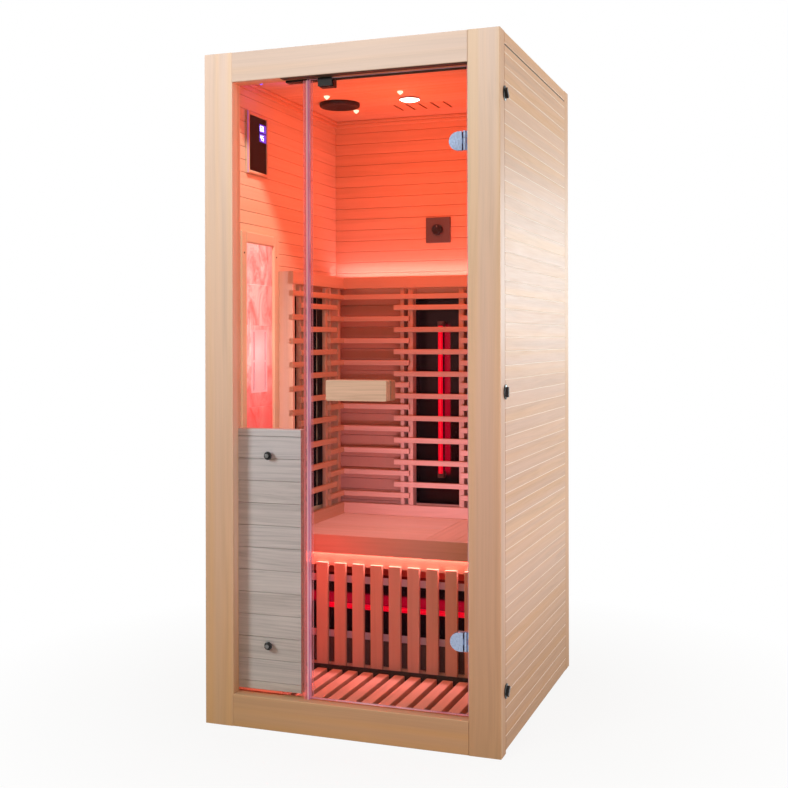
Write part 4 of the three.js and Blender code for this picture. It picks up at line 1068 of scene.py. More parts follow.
class CABIN_OT_backrests(bpy.types.Operator):
    """Makes the slatted backrests: slats in alternating rows across uprights"""

    bl_idname = "cabin.backrests"
    bl_label = "Backrests"

    slat_thick = 14 * MM
    slat_height = 17.5 * MM
    slat_rise = 37.5 * MM
    rail_height = 40 * MM
    rail_thick = 18 * MM
    kick_height = 38 * MM
    end_set_back = 2 * MM
    end_recess = 0.6 * MM
    centre_length = 290 * MM
    overlap = 54 * MM
    upright = 18 * MM
    slim_upright = 14 * MM
    upright_gap = 14 * MM
    upright_lap = 7 * MM
    shallow = 14 * MM

    def execute(self, context):
        for side in ("back", "left", "right"):
            self.backrest(side)
        return {"FINISHED"}

    def backrest(self, side):
        """Works along the wall (run) and away from it (depth), then puts both back on X and Y"""
        x, y, z = spans(f"{side}_backrest")
        heater = spans(f"{side}_heater")
        run, deep = (x, y) if side == "back" else (y, x)
        along = "x" if side == "back" else "y"
        centre = middle(heater[0] if side == "back" else heater[1])
        inner_edge = length(heater[0] if side == "back" else heater[1]) / 2 - self.upright_lap
        wall, face = (deep[0], deep[1]) if side == "left" else (deep[1], deep[0])
        inward = math.copysign(1, wall - face)

        def ranged(near, far):
            return tuple(sorted((face + inward * near, face + inward * far)))

        def piece(part, depth, heights, grain, finish="inside", **row):
            pair = (part, depth) if side == "back" else (depth, part)
            return bars(*pair, heights, along if grain == "along" else "z", finish, **row)

        slat_y = ranged(0, self.slat_thick)
        rail_y = ranged(0, self.rail_thick)
        post_y = ranged(self.slat_thick, abs(wall - face))
        rail_foot = z[1] - self.rail_height
        posts_z = (z[0], rail_foot)
        kick = (z[0], z[0] + self.kick_height)
        seed = {"back": 131, "left": 151, "right": 171}[side]
        rows = [piece(run, rail_y, (rail_foot, z[1]), "along", seed=seed),
                piece(run, rail_y, kick, "along", seed=seed + 1),
                piece((run[1] - self.upright, run[1]), post_y, posts_z, "up", seed=seed + 3)]
        if side == "back":
            rows.append(piece((run[0], run[0] + self.upright), post_y, posts_z, "up", seed=seed + 2))
        else:
            # End boards take the paler outside wood: painted light on their faces
            board = (run[0] + self.end_recess, run[0] + self.upright)
            end = piece(board, ranged(self.end_set_back, abs(wall - face)), z, "up", "outside", seed=seed + 2)
            build(f"{side}_end_board", [end], "warm_hemlock")
        inner_y = post_y if side == "back" else ranged(self.slat_thick, self.slat_thick + self.shallow)
        for sign in (-1, 1):
            wide = around(centre + sign * (inner_edge + self.upright / 2), self.upright)
            slim_edge = inner_edge + self.upright + self.upright_gap
            slim = around(centre + sign * (slim_edge + self.slim_upright / 2), self.slim_upright)
            rows.append(piece(wide, inner_y, posts_z, "up", seed=seed + 4 + sign))
            rows.append(piece(slim, inner_y, posts_z, "up", seed=seed + 7 + sign))
        top = rail_foot - (self.slat_rise - self.slat_height)
        count = math.ceil((top - self.slat_height - kick[1]) / self.slat_rise)
        first = (top - self.slat_height, top)
        rows.append(piece(run, slat_y, first, "along", seed=seed + 9))
        middle_run = around(centre, self.centre_length)
        down = (0, 0, -2 * self.slat_rise)
        second = tuple(height - self.slat_rise for height in first)
        rows.append(piece(middle_run, slat_y, second, "along", count=count // 2, step=down, seed=seed + 10))
        third = tuple(height - 2 * self.slat_rise for height in first)
        for part in ((run[0], middle_run[0] + self.overlap), (middle_run[1] - self.overlap, run[1])):
            rows.append(piece(part, slat_y, third, "along", count=(count - 1) // 2, step=down,
                              seed=seed + 11))
        build(f"{side}_backrest_slats", rows, "warm_hemlock", replaces=[f"{side}_backrest"])


class CABIN_OT_leg_panel(bpy.types.Operator):
    """Makes the boards behind the fixed pane and the bolts that hold them"""

    bl_idname = "cabin.leg_panel"
    bl_label = "Leg panel"

    pitch = 63 * MM
    lowest_board = 29 * MM
    foot_gap = 6 * MM
    glow_share = 0.7
    socket_share = 0.26

    def execute(self, context):
        x, y, z = spans("leg_panel")
        foot = z[0] + self.foot_gap
        lowest = self.lowest_board - self.foot_gap
        rows = boards(x, y, (foot, z[1]), "x", "grey", "z", self.pitch, lowest, seed=191)
        # A glowing strip under the lowest boards paints the cabin's red light showing through the gap under
        # the panel
        glow = lit("foot_glow", (0.78, 0.12, 0.06), 0.34, 20.0)
        rows.append(bars((x[0] + MM, x[0] + self.glow_share * length(x)), (y[0] + MM, y[1] - MM),
                         (z[0], foot), "x", glow, arris=0.5 * MM))
        build("leg_panel_boards", rows, "grey_hemlock", replaces=["leg_panel"])
        for level in ("upper", "lower"):
            finished(f"leg_panel_bolt_{level}", "dark_steel", dark_steel(), 0.5 * MM)
        self.sockets()
        return {"FINISHED"}

    def sockets(self):
        """Six-sided drive in the head of each bolt, in a paler steel that paints a highlight on the dark head
        """
        boxes = [spans(f"leg_panel_bolt_{level}") for level in ("upper", "lower")]
        points = [(middle(x), y[0], middle(z)) for x, y, z in boxes]
        steel = metal("worn_steel", (0.17, 0.16, 0.15), 0.3)
        radius = self.socket_share * length(boxes[0][0])
        mesh = head_mesh("leg_panel_sockets", points, (math.pi / 2, 0, 0), steel, radius, 0.6 * MM, 6)
        place("leg_panel_sockets", mesh, "dark_steel")


class CABIN_OT_glass(bpy.types.Operator):
    """Makes the fixed pane, the door's pane and the seal between them"""

    bl_idname = "cabin.glass"
    bl_label = "Glass"

    rim_width = 3 * MM
    rim_rise = 0.1 * MM

    def execute(self, context):
        pane, edge = clear_glass(), glass_edge()
        for name, body in (("fixed_glass", "cabin"), ("door_glass", "door")):
            piece = finished(name, "clear_glass", pane, 0.8 * MM, 1, 0.3, body, [edge])
            for face in piece.data.polygons:
                face.material_index = 0 if abs(face.normal.y) > 0.9 else 1
        finished("glass_seal", "clear_vinyl", vinyl(), 0.5 * MM, least=0.3)
        self.rim(edge)
        return {"FINISHED"}

    def rim(self, edge):
        """Narrow glowing border on the sides and the foot of the door's pane: painted light along its edges
        """
        x, y, z = spans("door_glass")
        deep = (y[0] - self.rim_rise, y[1] + self.rim_rise)
        wide = self.rim_width
        upright = (z[0] + wide, z[1])
        arris = 0.3 * MM
        rows = [bars(x, deep, (z[0], z[0] + wide), "x", edge, arris=arris),
                bars((x[0], x[0] + wide), deep, upright, "z", edge, 2, (length(x) - wide, 0, 0), arris)]
        build("door_glass_rim", rows, "clear_glass", "door")


class CABIN_OT_hardware(bpy.types.Operator):
    """Finishes the handle, the hinges, the tie bolts and the catch"""

    bl_idname = "cabin.hardware"
    bl_label = "Hardware"

    gasket_thick = 1.6 * MM
    stop_drop = 8 * MM
    stop_thick = 7 * MM

    def execute(self, context):
        for side in ("outer", "inner"):
            finished(f"door_handle_{side}", "hemlock", timber("handle", "x"), 2.5 * MM, 3, 20 * MM, "door")
        for level in ("upper", "lower"):
            finished(f"hinge_clamp_{level}", "chrome", chrome(), 0.9 * MM, 3, 0, "door")
            finished(f"hinge_bracket_{level}", "chrome", chrome(), 0.5 * MM)
            finished(f"hinge_pin_{level}", "chrome", chrome(), 0.4 * MM)
            self.clamp_screws(level, context.scene.cabin_fittings)
        for side in ("right", "left"):
            for level in ("upper", "middle", "lower"):
                finished(f"tie_bolt_{side}_{level}", "dark_steel", dark_steel(), 0.7 * MM)
        finished("door_strike", "dark_steel", dark_steel(), 0.4 * MM, body="door")
        finished("door_catch", "black_plastic", black_plastic(), 1.2 * MM)
        self.gasket()
        return {"FINISHED"}

    def gasket(self):
        """Dark strips under the top rail, in front of and behind the door's top edge: painted shade on the
        rail's underside
        """
        y, z = spans("front_top_rail")[1:]
        catch, right = spans("door_catch")[0], spans("front_right_stile")[0][0]
        under = (z[0] - self.gasket_thick, z[0])
        door = spans("door_glass")[1]
        stop = (y[1] - self.stop_thick, y[1] - MM)
        rows = [bars(run, deep, heights, "x", dark_rubber(), arris=0.4 * MM) for run, deep, heights in (
            ((catch[0], right), (y[0] + MM, door[0] - MM), under),
            ((catch[1] + MM, right), stop, (z[0] - self.stop_drop, z[0])))]
        build("door_gasket", rows, "black_plastic")

    def clamp_screws(self, level, fittings):
        x, y, z = spans(f"hinge_clamp_{level}")
        spread = 13 * MM
        points = [(x[0] + 0.45 * length(x), y[1], middle(z) + sign * spread) for sign in (-1, 1)]
        name = f"hinge_screws_{level}"
        mesh = head_mesh(name, points, (-math.pi / 2, 0, 0), chrome(), fittings.screw_radius, 0.6 * MM, 20)
        place(name, mesh, "chrome", "door")


class CABIN_OT_heaters(bpy.types.Operator):
    """Finishes the heater trays and makes the glowing tubes"""

    bl_idname = "cabin.heaters"
    bl_label = "Heaters"

    tube_radius = 8 * MM
    sleeve_length = 9 * MM
    sleeve_wall = 1.5 * MM
    holder_size = 22 * MM
    shield_width = 58 * MM
    shield_thick = 1 * MM

    def execute(self, context):
        black = carbon()
        for name in ("back_heater", "left_heater", "right_heater"):
            finished(name, "carbon_heater", black, 0.8 * MM)
        for side, inner in (("left", 1), ("right", 0)):
            self.shield(side, spans(f"{side}_wall_lining")[0][inner])
        # The rim's pale colour paints the light that its edges reflect
        rim = moulding("heater_rim", (0.80, 0.62, 0.60), 0.4)
        calf = finished("calf_heater", "carbon_heater", black, 0.8 * MM, extra=[rim])
        front = spans("calf_heater")[1][0] + MM
        for face in calf.data.polygons:
            face.material_index = 1 if face.center.y < front else 0
        glow = lit("red_tube", context.scene.cabin_fittings.tube_glow, 0.75, 60.0)
        ceramic = moulding("ceramic_sleeve", (0.20, 0.10, 0.09), 0.6)
        for name, axis in (("back_heater_tube", "z"), ("calf_heater_tube", "x")):
            self.tube(name, axis, glow, ceramic)
        return {"FINISHED"}

    def shield(self, side, face):
        """Thin dark plate on the lining, between a side heater and the corner"""
        y, z = spans(f"{side}_heater")[1:]
        inward = self.shield_thick if side == "left" else -self.shield_thick
        plate = bars(tuple(sorted((face, face + inward))), (y[1], y[1] + self.shield_width), z, "z",
                     shared(moulding, "heat_shield", (0.020, 0.016, 0.020), 0.5, shine=0.2), arris=0.3 * MM)
        build(f"{side}_heat_shield", [plate], "carbon_heater")

    def tube(self, name, axis, glow, ceramic):
        box = spans(name)
        run = length(box[AXES.index(axis)]) / 2
        front = box[1][0] + self.tube_radius
        centre = [middle(box[0]), front, middle(box[2])]
        radius, sleeve = self.tube_radius, self.tube_radius + self.sleeve_wall
        inner = run - self.sleeve_length
        parts = [turned([(0, -run), (radius, -run), (radius, run), (0, run)], centre, axis, 32, glow)]
        for sign in (-1, 1):
            ends = sorted((sign * inner, sign * run))
            profile = [(0, ends[0]), (sleeve - MM, ends[0]), (sleeve, ends[0] + MM), (sleeve, ends[1] - MM),
                       (sleeve - MM, ends[1]), (0, ends[1])]
            parts.append(turned(profile, centre, axis, 32, ceramic))
            foot = list(centre)
            foot[AXES.index(axis)] += sign * (run - self.sleeve_length / 2)
            block = [around(foot[i], self.holder_size) for i in range(3)]
            block[1] = (front, box[1][1])
            parts.append(apply_trees(name + "_holder", [bars(*block, "y", ceramic, arris=MM)]))
        place(name + "_glow", joined(name + "_glow", parts), "red_tube", "cabin", [name])


def framed(box, width, finish, seed):
    """Rows for a flat frame on the left wall: two stiles and two rails between them"""
    x, y, z = box
    rows = [bars(x, (y[0], y[0] + width), z, "z", finish, seed=seed),
            bars(x, (y[1] - width, y[1]), z, "z", finish, seed=seed + 1)]
    inner = (y[0] + width, y[1] - width)
    for foot in (z[0], z[1] - width):
        rows.append(bars(x, inner, (foot, foot + width), "y", finish, seed=seed + 2))
    return rows


class CABIN_OT_salt_panel(bpy.types.Operator):
    """Makes the framed salt bricks and the slotted air outlet on them"""

    bl_idname = "cabin.salt_panel"
    bl_label = "Salt panel"

    frame_width = 30 * MM
    brick_height = 103 * MM
    outlet_size = (100 * MM, 186 * MM)
    outlet_thick = 4 * MM
    outlet_height = 1026 * MM
    slot_size = (9 * MM, 84 * MM)
    slot_spread = 0.37
    slot_shift = 0.24
    backing_share = 0.94
    screw_from_top = 62 * MM

    def execute(self, context):
        rows = framed(spans("salt_frame"), self.frame_width, "inside", 201)
        build("salt_frame_bars", rows, "hemlock", replaces=["salt_frame"])
        x, y, z = spans("salt_bricks")
        gap = 0.3 * MM
        count = int(length(z) / self.brick_height)
        course = length(z) / count
        bricks = bars(x, y, (z[0] + gap, z[0] + course - gap), "y", rock_salt(), count, (0, 0, course),
                      1.5 * MM, (0.4 * MM, 0, 0), 205)
        build("salt_blocks", [bricks], "salt", replaces=["salt_bricks"])
        self.outlet(x[1], y)
        self.screws(context.scene.cabin_fittings)
        return {"FINISHED"}

    def screws(self, fittings):
        x, y, z = spans("salt_frame")
        height = z[1] - self.screw_from_top
        points = [(x[1], y[0] + self.frame_width / 2, height), (x[1], y[1] - self.frame_width / 2, height)]
        radius = fittings.screw_radius
        mesh = head_mesh("salt_frame_screws", points, (0, math.pi / 2, 0), dark_steel(), radius, 0.5 * MM, 16)
        place("salt_frame_screws", mesh, "dark_steel")

    def outlet(self, face, y):
        wide, tall = self.outlet_size
        centre = middle(y)
        slot_wide, slot_tall = self.slot_size
        # The cover glows faintly: painted light on its face
        cover = lit("outlet_cover", (1.0, 0.64, 0.66), 0.36, 12.0)
        deep = (face, face + self.outlet_thick)
        heights = around(self.outlet_height, tall)
        steps = [bars(deep, around(centre, wide), heights, "z", cover, arris=1.5 * MM)]
        lower = around(self.outlet_height - tall * self.slot_shift, slot_tall)
        for side in (-1, 1):
            across = around(centre + side * wide * self.slot_spread, slot_wide)
            through = (deep[0] - MM, deep[1] + MM)
            steps.append(cuts(through, across, lower, 2, (0, 0, 2 * tall * self.slot_shift)))
        # Dark red glowing strips behind the slots paint the shade inside them, lit red
        for side in (-1, 1):
            across = around(centre + side * wide * self.slot_spread, slot_wide + 2 * MM)
            steps.append(bars((face + 0.1 * MM, face + 0.6 * MM), across,
                              around(self.outlet_height, tall * self.backing_share), "z",
                              shared(lit, "outlet_shadow", (0.50, 0.01, 0.05), 0.35), arris=0.1 * MM))
        build("salt_air_outlet", steps, "salt")


class CABIN_OT_controls(bpy.types.Operator):
    """Makes the control panel with its lit figures, and the dimmer"""

    bl_idname = "cabin.controls"
    bl_label = "Controls"

    frame_width = 9 * MM
    figure_height = 15 * MM
    figure_width = 9 * MM
    stroke = 2.2 * MM
    figure_drops = (38 * MM, 66 * MM)
    figure_inset = 41 * MM
    figure_gap = 4 * MM
    halo_margin = 5 * MM

    def execute(self, context):
        rows = framed(spans("control_frame"), self.frame_width, "inside", 211)
        build("control_frame_bars", rows, "hemlock", replaces=["control_frame"])
        dark = moulding("dark_screen", (0.020, 0.012, 0.014), 0.42, shine=0.15, strength=0.0)
        finished("control_screen", "dark_screen", dark, 0.8 * MM)
        self.figures(context.scene.cabin_fittings)
        self.dimmer()
        return {"FINISHED"}

    def figures(self, fittings):
        """Two pairs of plain seven-segment figures near the top of the screen"""
        x, y, z = spans("control_screen")
        lit_figures = lit("display_figures", fittings.display, 3.0)
        halo = lit("display_halo", (0.10, 0.06, 0.75), 0.9)
        shapes = {"6": "abcdef", "0": "bcdefg", "4": "acdg", "5": "abcde"}
        w, h, s = self.figure_width, self.figure_height, self.stroke
        strokes = {
            "a": ((0, w), (h / 2 - s / 2, h / 2 + s / 2)), "b": ((0, w), (0, s)), "e": ((0, w), (h - s, h)),
            "c": ((0, s), (h / 2, h)), "d": ((w - s, w), (0, h / 2)), "f": ((0, s), (0, h / 2)),
            "g": ((w - s, w), (h / 2, h))}
        front, raised = x[1], x[1] + 0.5 * MM
        parts = []
        left = y[1] - self.figure_inset
        for text, drop in zip(("60", "45"), self.figure_drops):
            foot = z[1] - drop
            heights = (foot - self.halo_margin, foot + h + self.halo_margin)
            parts.append(bars((front, raised), (left - self.figure_gap, y[1] - MM), heights, "y", halo,
                              arris=0.2 * MM))
            for place_index, figure in enumerate(text):
                start = left + place_index * (w + self.figure_gap)
                for stroke in shapes[figure]:
                    (u0, u1), (v0, v1) = strokes[stroke]
                    parts.append(bars((raised, raised + 0.4 * MM), (start + u0, start + u1),
                                      (foot + v0, foot + v1), "y", lit_figures, arris=0.1 * MM))
        rim = spans("control_frame")
        violet = lit("display_edge", (0.40, 0.16, 0.95), 0.45)
        parts.append(bars((rim[0][1] - 3 * MM, rim[0][1] - MM), (rim[1][0] - 0.8 * MM, rim[1][0]), rim[2],
                          "z", violet, arris=0.2 * MM))
        build("display_figures", parts, "dark_screen")

    def dimmer(self):
        # Its red is raised above the face's own brown: a painted reflection of the cabin's lamps
        brown = moulding("dimmer_face", (0.12, 0.06, 0.045), 0.45)
        finished("dimmer_plate", "black_plastic", brown, 2 * MM, 3, 20 * MM)
        x, y, z = spans("dimmer_knob")
        centre = (middle(x), y[0], middle(z))
        radius = length(x) / 2
        face = spans("dimmer_plate")[1][0] - y[0]
        shaft = 3 * MM
        profile = [(0, 2 * MM), (radius * 0.62, 1.6 * MM), (radius * 0.72, 0), (radius * 0.90, 0),
                   (radius * 0.96, 1 * MM), (radius, face - 3 * MM), (radius, face - 0.3 * MM),
                   (shaft, face - 0.3 * MM), (shaft, length(y)), (0, length(y))]
        knob = turned(profile, centre, "y", 64, black_plastic())
        mark = bars(around(centre[0], 1.6 * MM), (y[0], y[0] + 2 * MM),
                    (centre[2] + radius * 0.45, centre[2] + radius * 0.86), "z",
                    moulding("pale_mark", (0.60, 0.45, 0.40), 0.5), arris=0.3 * MM)
        pointer = apply_trees("dimmer_pointer", [mark])
        place("dimmer_knob_turned", joined("dimmer_knob_turned", [knob, pointer]), "black_plastic", "dimmer",
              ["dimmer_knob"])


class CABIN_OT_ceiling_fittings(bpy.types.Operator):
    """Makes the speaker, the ceiling lamp, the star lamps and the light strips"""

    bl_idname = "cabin.ceiling_fittings"
    bl_label = "Ceiling fittings"

    stars = ((-233, -28), (-230, 212), (6, -14))
    blue_star = (-331, -288)
    blue_scale = 1.4

    def execute(self, context):
        fittings = context.scene.cabin_fittings
        self.speaker(fittings)
        self.lamp()
        self.star_lamps(fittings)
        strip = lit("strip_diffuser", (1.0, 0.80, 0.74), 2.0, 80.0)
        for name in ("back_light_strip", "bench_light_strip"):
            finished(name, "lamp_white", strip, 1.2 * MM, 3)
        return {"FINISHED"}

    def speaker(self, fittings):
        x, y, z = spans("speaker")
        radius = length(x) / 2
        drop = spans("ceiling_panel")[2][0] - z[0]
        profile = [(0, 1.5 * MM), (radius * 0.80, 1.5 * MM), (radius * 0.84, 0), (radius * 0.93, 0.6 * MM),
                   (radius * 0.985, 3 * MM), (radius, 6 * MM), (radius, drop), (radius * 0.84, drop),
                   (radius * 0.84, length(z)), (0, length(z))]
        centre = (middle(x), middle(y), z[0])
        shell = turned(profile, centre, "z", 96, black_plastic())
        pitch = fittings.hole_pitch
        reach = int(radius / pitch)
        points = []
        for i in range(-reach, reach + 1):
            for j in range(-reach, reach + 1):
                u, v = (i + 0.5 * (j % 2)) * pitch, j * pitch * 0.866
                if math.hypot(u, v) < radius * 0.77:
                    points.append((centre[0] + u, centre[1] + v, z[0] + 1.5 * MM))
        dark = moulding("speaker_mesh", (0.008, 0.006, 0.006), 0.7)
        grille = head_mesh("speaker_grille", points, (math.pi, 0, 0), dark, pitch * 0.30, 0.25 * MM, 8)
        whole = joined("speaker_shell", [shell, grille])
        place("speaker_shell", whole, "black_plastic", "cabin", ["speaker"])

    def lamp(self):
        x, y, z = spans("ceiling_lamp")
        radius = length(x) / 2
        drop = spans("ceiling_panel")[2][0] - z[0]
        centre = (middle(x), middle(y), z[0])
        ring = [(radius * 0.96, 1.2 * MM), (radius * 0.97, 0), (radius * 0.99, 0.3 * MM), (radius, 2 * MM),
                (radius, drop), (radius * 0.96, drop), (radius * 0.96, 1.2 * MM)]
        lens = [(0, -7 * MM), (radius * 0.4, -6 * MM), (radius * 0.75, -3 * MM), (radius * 0.96, 1.3 * MM),
                (radius * 0.96, drop), (radius * 0.75, drop), (radius * 0.75, length(z)), (0, length(z))]
        parts = [turned(ring, centre, "z", 64, chrome()),
                 turned(lens, centre, "z", 64, lit("lamp_lens", (1.0, 0.90, 0.78), 6.0))]
        whole = joined("ceiling_lamp_lens", parts)
        place("ceiling_lamp_lens", whole, "lamp_white", "cabin", ["ceiling_lamp"])

    def star_lamps(self, fittings):
        under = spans("ceiling_panel")[2][0]
        for name, places, scale, finish in (
                ("star_lamps", self.stars, 1.0, lit("star_light", (1.0, 0.80, 0.58), 1.4)),
                ("blue_star_lamp", (self.blue_star,), self.blue_scale,
                 lit("blue_light", (0.11, 0.09, 1.0), 1.6))):
            points = [(x * MM, y * MM, under) for x, y in places]
            radius = fittings.star_radius * scale
            mesh = head_mesh(name, points, (math.pi, 0, 0), finish, radius, 7 * MM, 10, 0.15)
            place(name, mesh, "lamp_white")


class CABIN_OT_stage(bpy.types.Operator):
    """Sets the camera, the floor, the white room and the lamps"""

    bl_idname = "cabin.stage"
    bl_label = "Stage"

    camera_place = (1.190, -3.333, 1.089)
    camera_turn = 19.97
    camera_roll = 0.13
    lens = 52.48
    shift_y = -0.069
    # Beginnings of the names of pieces that a lamp may be for
    lit_groups = {
        "outside": ("front_", "left_wall", "right_wall", "back_wall", "roof_", "door_handle_outer",
                    "tie_bolt", "hinge_", "studio_floor"),
        "left_wall": ("left_lining", "salt_frame", "control_frame"),
        "near_stile": ("front_left", "left_lining", "left_backrest"),
        "panel": ("leg_panel",),
        "far_sides": ("left_wall", "back_wall", "tie_bolt_left", "roof_deck", "front_left"),
        "slats": ("back_backrest", "back_lining"),
        "ends": ("left_end", "right_end"),
        "under_lamp": ("bench_boards", "floor_slats")}
    wide = 180
    # Name, place, aim, width and height, power setting, colour or its setting, group of pieces, spread
    studio_lamps = (
        ("key", (-0.35, -2.6, 3.1), (0, -0.4, 1.3), (1.4, 1.2), "key_power", (0.72, 0.88, 1.0),
         "outside", wide),
        ("panel", (-2.7, -2.5, 2.2), (-0.25, -0.41, 0.5), (0.8, 0.8), "panel_power", (0.72, 0.88, 1.0),
         "panel", wide),
        ("stile", (1.8, -2.7, 1.5), (-0.37, -0.4, 1.1), (1.2, 1.2), "stile_power", (0.92, 0.94, 0.93),
         "near_stile", wide),
        ("side", (1.7, 2.6, 1.42), (0.43, 0, 1.2), (1.2, 0.9), "side_power", (0.80, 0.95, 1.0),
         "outside", wide),
        ("right", (3.6, -0.35, 0.9), (0.43, 0, 0.7), (1.6, 1.2), "right_power", (0.92, 0.96, 1.0),
         "outside", wide),
        ("fill", (1.5, -2.9, 0.75), (0.05, 0, 0.42), (1.2, 1.2), "fill_power", "fill_tint", None, 32),
        ("window", (1.0, -2.2, 3.6), (-0.37, -0.15, 1.2), (0.3, 0.3), "window_power", (0.88, 0.94, 0.92),
         "left_wall", wide),
        ("left", (-3.6, 0.2, 1.4), (-0.43, 0, 0.9), (1.6, 1.2), "far_power", (0.88, 0.94, 1.0),
         "far_sides", wide),
        ("rear", (-0.5, 3.6, 1.4), (0, 0.44, 0.9), (1.6, 1.2), "far_power", (0.88, 0.94, 1.0),
         "far_sides", wide),
        ("end", (-0.20, -0.36, 0.95), (-0.355, -0.10, 0.95), (0.02, 0.8), "end_power", (1.0, 0.74, 0.80),
         "ends", wide),
        ("end", (0.20, -0.36, 0.95), (0.355, -0.10, 0.95), (0.02, 0.8), "end_power", (1.0, 0.74, 0.80),
         "ends", wide),
        ("slats", (0.10, -0.30, 0.60), (0.10, 0.34, 0.62), (0.5, 0.06), "slat_power", (0.80, 0.50, 0.85),
         "slats", 100))
    # Name, place, radius, power setting, colour or its setting
    bulbs = (
        ("glow", (0, 0, 1.56), 0.15, "glow_power", "glow"),
        ("salt", (-0.30, -0.27, 1.05), 0.06, "salt_power", "salt_tint"),
        ("leg_room", (-0.20, -0.25, 0.40), 0.04, "red_power", "red"),
        ("under_seat", (0, 0.20, 0.38), 0.05, "red_power", "red"),
        ("blue_star", (-0.29, -0.27, 1.81), 0.012, "blue_power", (0.35, 0.12, 1.0)))
    lens_drop = 10 * MM
    lens_spread = 70
    back_strip_lift = 4 * MM
    back_strip_short = 20 * MM
    back_strip_width = 12 * MM
    bench_strip_set_back = 2 * MM
    bench_strip_drop = 3 * MM
    bench_strip_width = 6 * MM
    floor_radius = 9.0
    floor_shade = (0.55, 0.46, 0.36, 1)
    shadow_from, shadow_to = 0.6, 1.5
    shadow_white = 0.90

    def execute(self, context):
        light = context.scene.cabin_light
        self.camera(context.scene)
        self.floor()
        self.room(context.scene, light)
        self.lamps(light)
        context.scene.view_settings.view_transform = "Standard"
        return {"FINISHED"}

    def camera(self, scene):
        camera = bpy.data.objects.new("camera", bpy.data.cameras.new("camera"))
        camera.data.lens = self.lens
        camera.data.shift_y = self.shift_y
        camera.location = self.camera_place
        angles = (90, self.camera_roll, self.camera_turn)
        camera.rotation_euler = [math.radians(angle) for angle in angles]
        scene.collection.objects.link(camera)
        scene.camera = camera

    def seen(self, tree):
        """1 for rays from the camera, straight, mirrored or through glass, 0 for light on the object"""
        rays = node(tree, "ShaderNodeLightPath").outputs
        seen = rays["Is Camera Ray"]
        for kind in ("Is Glossy Ray", "Is Transmission Ray"):
            seen = maths(tree, "MAXIMUM", seen, rays[kind])
        return seen

    def floor(self):
        mesh = turned([(0, 0), (self.floor_radius, 0)], (0, 0, -0.5 * MM), "z", 96)
        material, tree, output = new_material("studio_floor")
        diffuse = node(tree, "ShaderNodeBsdfDiffuse", {"Color": self.floor_shade})
        white = node(tree, "ShaderNodeEmission", {"Color": (1, 1, 1, 1), "Strength": 1.0})
        spot = object_place(tree)
        far = node(tree, "ShaderNodeVectorMath", {0: spot}, operation="LENGTH").outputs["Value"]
        fade = rescaled(tree, far, self.shadow_from, self.shadow_to, self.shadow_white, 1.0)
        share = maths(tree, "MULTIPLY", fade, self.seen(tree))
        both = node(tree, "ShaderNodeMixShader", {0: share, 1: diffuse.outputs[0], 2: white.outputs[0]})
        tree.links.new(both.outputs[0], output.inputs["Surface"])
        mesh.materials.append(material)
        floor = bpy.data.objects.new("studio_floor", mesh)
        bpy.context.scene.collection.objects.link(floor)

    def room(self, scene, light):
        world = bpy.data.worlds.new("white_room")
        world.use_nodes = True
        tree = world.node_tree
        tree.nodes.clear()
        even = node(tree, "ShaderNodeBackground",
                    {"Color": colour(light.room_tint), "Strength": light.room_light})
        white = node(tree, "ShaderNodeBackground", {"Color": (1, 1, 1, 1), "Strength": 1.0})
        both = node(tree, "ShaderNodeMixShader",
                    {0: self.seen(tree), 1: even.outputs[0], 2: white.outputs[0]})
        node(tree, "ShaderNodeOutputWorld", {"Surface": both.outputs[0]})
        scene.world = world

    def lamps(self, light):
        groups = {name: self.pieces(beginnings) for name, beginnings in self.lit_groups.items()}

        def tinted(shade):
            return getattr(light, shade) if isinstance(shade, str) else shade

        for name, place_at, aim, size, strength, shade, group, spread in self.studio_lamps:
            only = groups[group] if group else None
            self.lamp(name, place_at, aim, size, getattr(light, strength), tinted(shade), only, spread)
        down = Vector((0, 0, -1))
        x, y, z = spans("ceiling_lamp")
        place_at = Vector((middle(x), middle(y), z[0] - self.lens_drop))
        self.lamp("ceiling", place_at, place_at + down, (length(x), length(y)), light.lamp_power,
                  light.lamp_tint, groups["under_lamp"], self.lens_spread)
        for name, place_at, radius, strength, shade in self.bulbs:
            self.bulb(name, place_at, radius, getattr(light, strength), tinted(shade))
        x, y, z = spans("back_light_strip")
        place_at = Vector((0, middle(y), z[1] + self.back_strip_lift))
        run = length(spans("back_wall_lining")[0]) - self.back_strip_short
        self.lamp("backrest", place_at, place_at + Vector((0, 0.03, 0.3)), (run, self.back_strip_width),
                  light.backrest_power, light.strip)
        x, y, z = spans("bench_light_strip")
        place_at = Vector((0, y[1] + self.bench_strip_set_back, z[0] - self.bench_strip_drop))
        self.lamp("bench", place_at, place_at + down, (length(x), self.bench_strip_width),
                  light.bench_power, light.strip)

    def pieces(self, beginnings):
        """A collection of the pieces whose names begin in one of the given ways"""
        group = bpy.data.collections.new("lit_alone")
        for piece in bpy.context.scene.objects:
            if piece.name.startswith(beginnings):
                group.objects.link(piece)
        return group

    def lamp(self, name, place_at, aim, size, power, tint, only=None, spread=180):
        """A rectangular lamp, perhaps narrowed and for some pieces only"""
        data = bpy.data.lights.new(name + "_lamp", "AREA")
        data.shape = "RECTANGLE"
        data.size, data.size_y = size
        data.spread = math.radians(spread)
        lamp = self.hang(data, place_at, power, tint)
        lamp.rotation_euler = (Vector(aim) - Vector(place_at)).to_track_quat("-Z", "Y").to_euler()
        if only:
            lamp.light_linking.receiver_collection = only

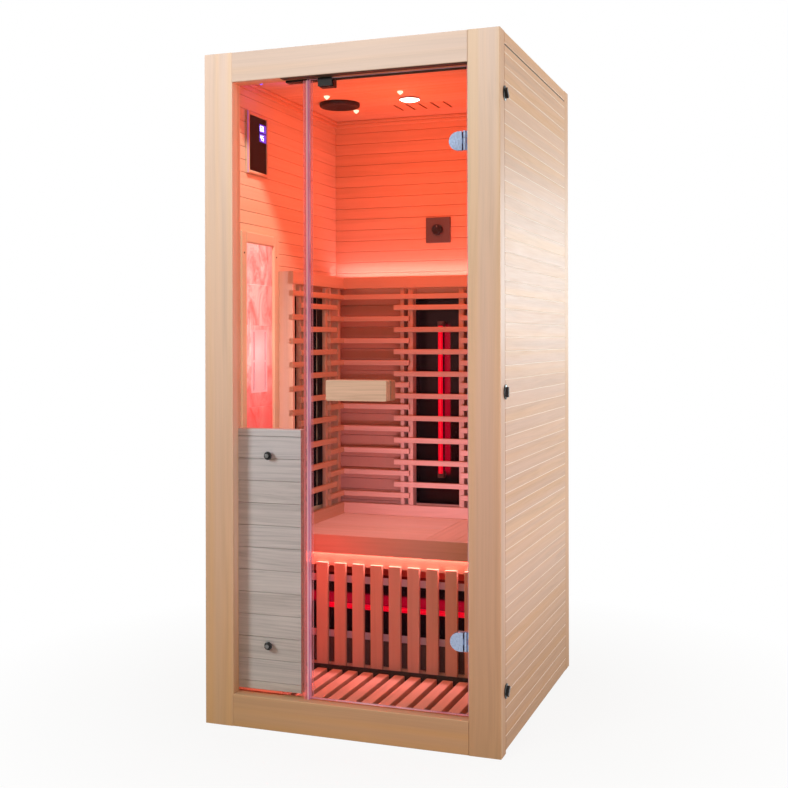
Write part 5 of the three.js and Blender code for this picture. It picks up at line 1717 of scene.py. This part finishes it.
    def bulb(self, name, place_at, radius, power, tint):
        """A round lamp that shines all round"""
        data = bpy.data.lights.new(name + "_lamp", "POINT")
        data.shadow_soft_size = radius
        self.hang(data, place_at, power, tint).visible_glossy = False

    def hang(self, data, place_at, power, tint):
        data.energy = power
        data.color = tint
        lamp = bpy.data.objects.new(data.name, data)
        lamp.location = place_at
        lamp.visible_camera = False
        lamp.visible_transmission = False
        bpy.context.scene.collection.objects.link(lamp)
        return lamp


class CABIN_PT_panel(bpy.types.Panel):
    """Lists the cabin's settings and the steps that make it"""

    bl_idname = "CABIN_PT_panel"
    bl_label = "Infrared cabin"
    bl_space_type = "VIEW_3D"
    bl_region_type = "UI"
    bl_category = "Cabin"

    def draw(self, context):
        for group in SETTINGS:
            owner = getattr(context.scene, group)
            for name in owner.__annotations__:
                self.layout.prop(owner, name)
        for operator in OPERATORS:
            self.layout.operator(operator.bl_idname)


SETTINGS = {"cabin_timber": CabinTimber, "cabin_fittings": CabinFittings, "cabin_light": CabinLight}
OPERATORS = (
    CABIN_OT_front_frame, CABIN_OT_walls, CABIN_OT_roof, CABIN_OT_floor, CABIN_OT_bench,
    CABIN_OT_backrests, CABIN_OT_leg_panel, CABIN_OT_glass, CABIN_OT_hardware, CABIN_OT_heaters,
    CABIN_OT_salt_panel, CABIN_OT_controls, CABIN_OT_ceiling_fittings, CABIN_OT_stage)


def register():
    for group in SETTINGS.values():
        bpy.utils.register_class(group)
    for name, group in SETTINGS.items():
        setattr(bpy.types.Scene, name, bpy.props.PointerProperty(type=group))
    for operator in OPERATORS:
        bpy.utils.register_class(operator)
    bpy.utils.register_class(CABIN_PT_panel)


def unregister():
    bpy.utils.unregister_class(CABIN_PT_panel)
    for operator in reversed(OPERATORS):
        bpy.utils.unregister_class(operator)
    for name, group in SETTINGS.items():
        delattr(bpy.types.Scene, name)
        bpy.utils.unregister_class(group)


def main():
    register()
    for operator in OPERATORS:
        area, step = operator.bl_idname.split(".")
        getattr(getattr(bpy.ops, area), step)()


if __name__ == "__main__":
    main()
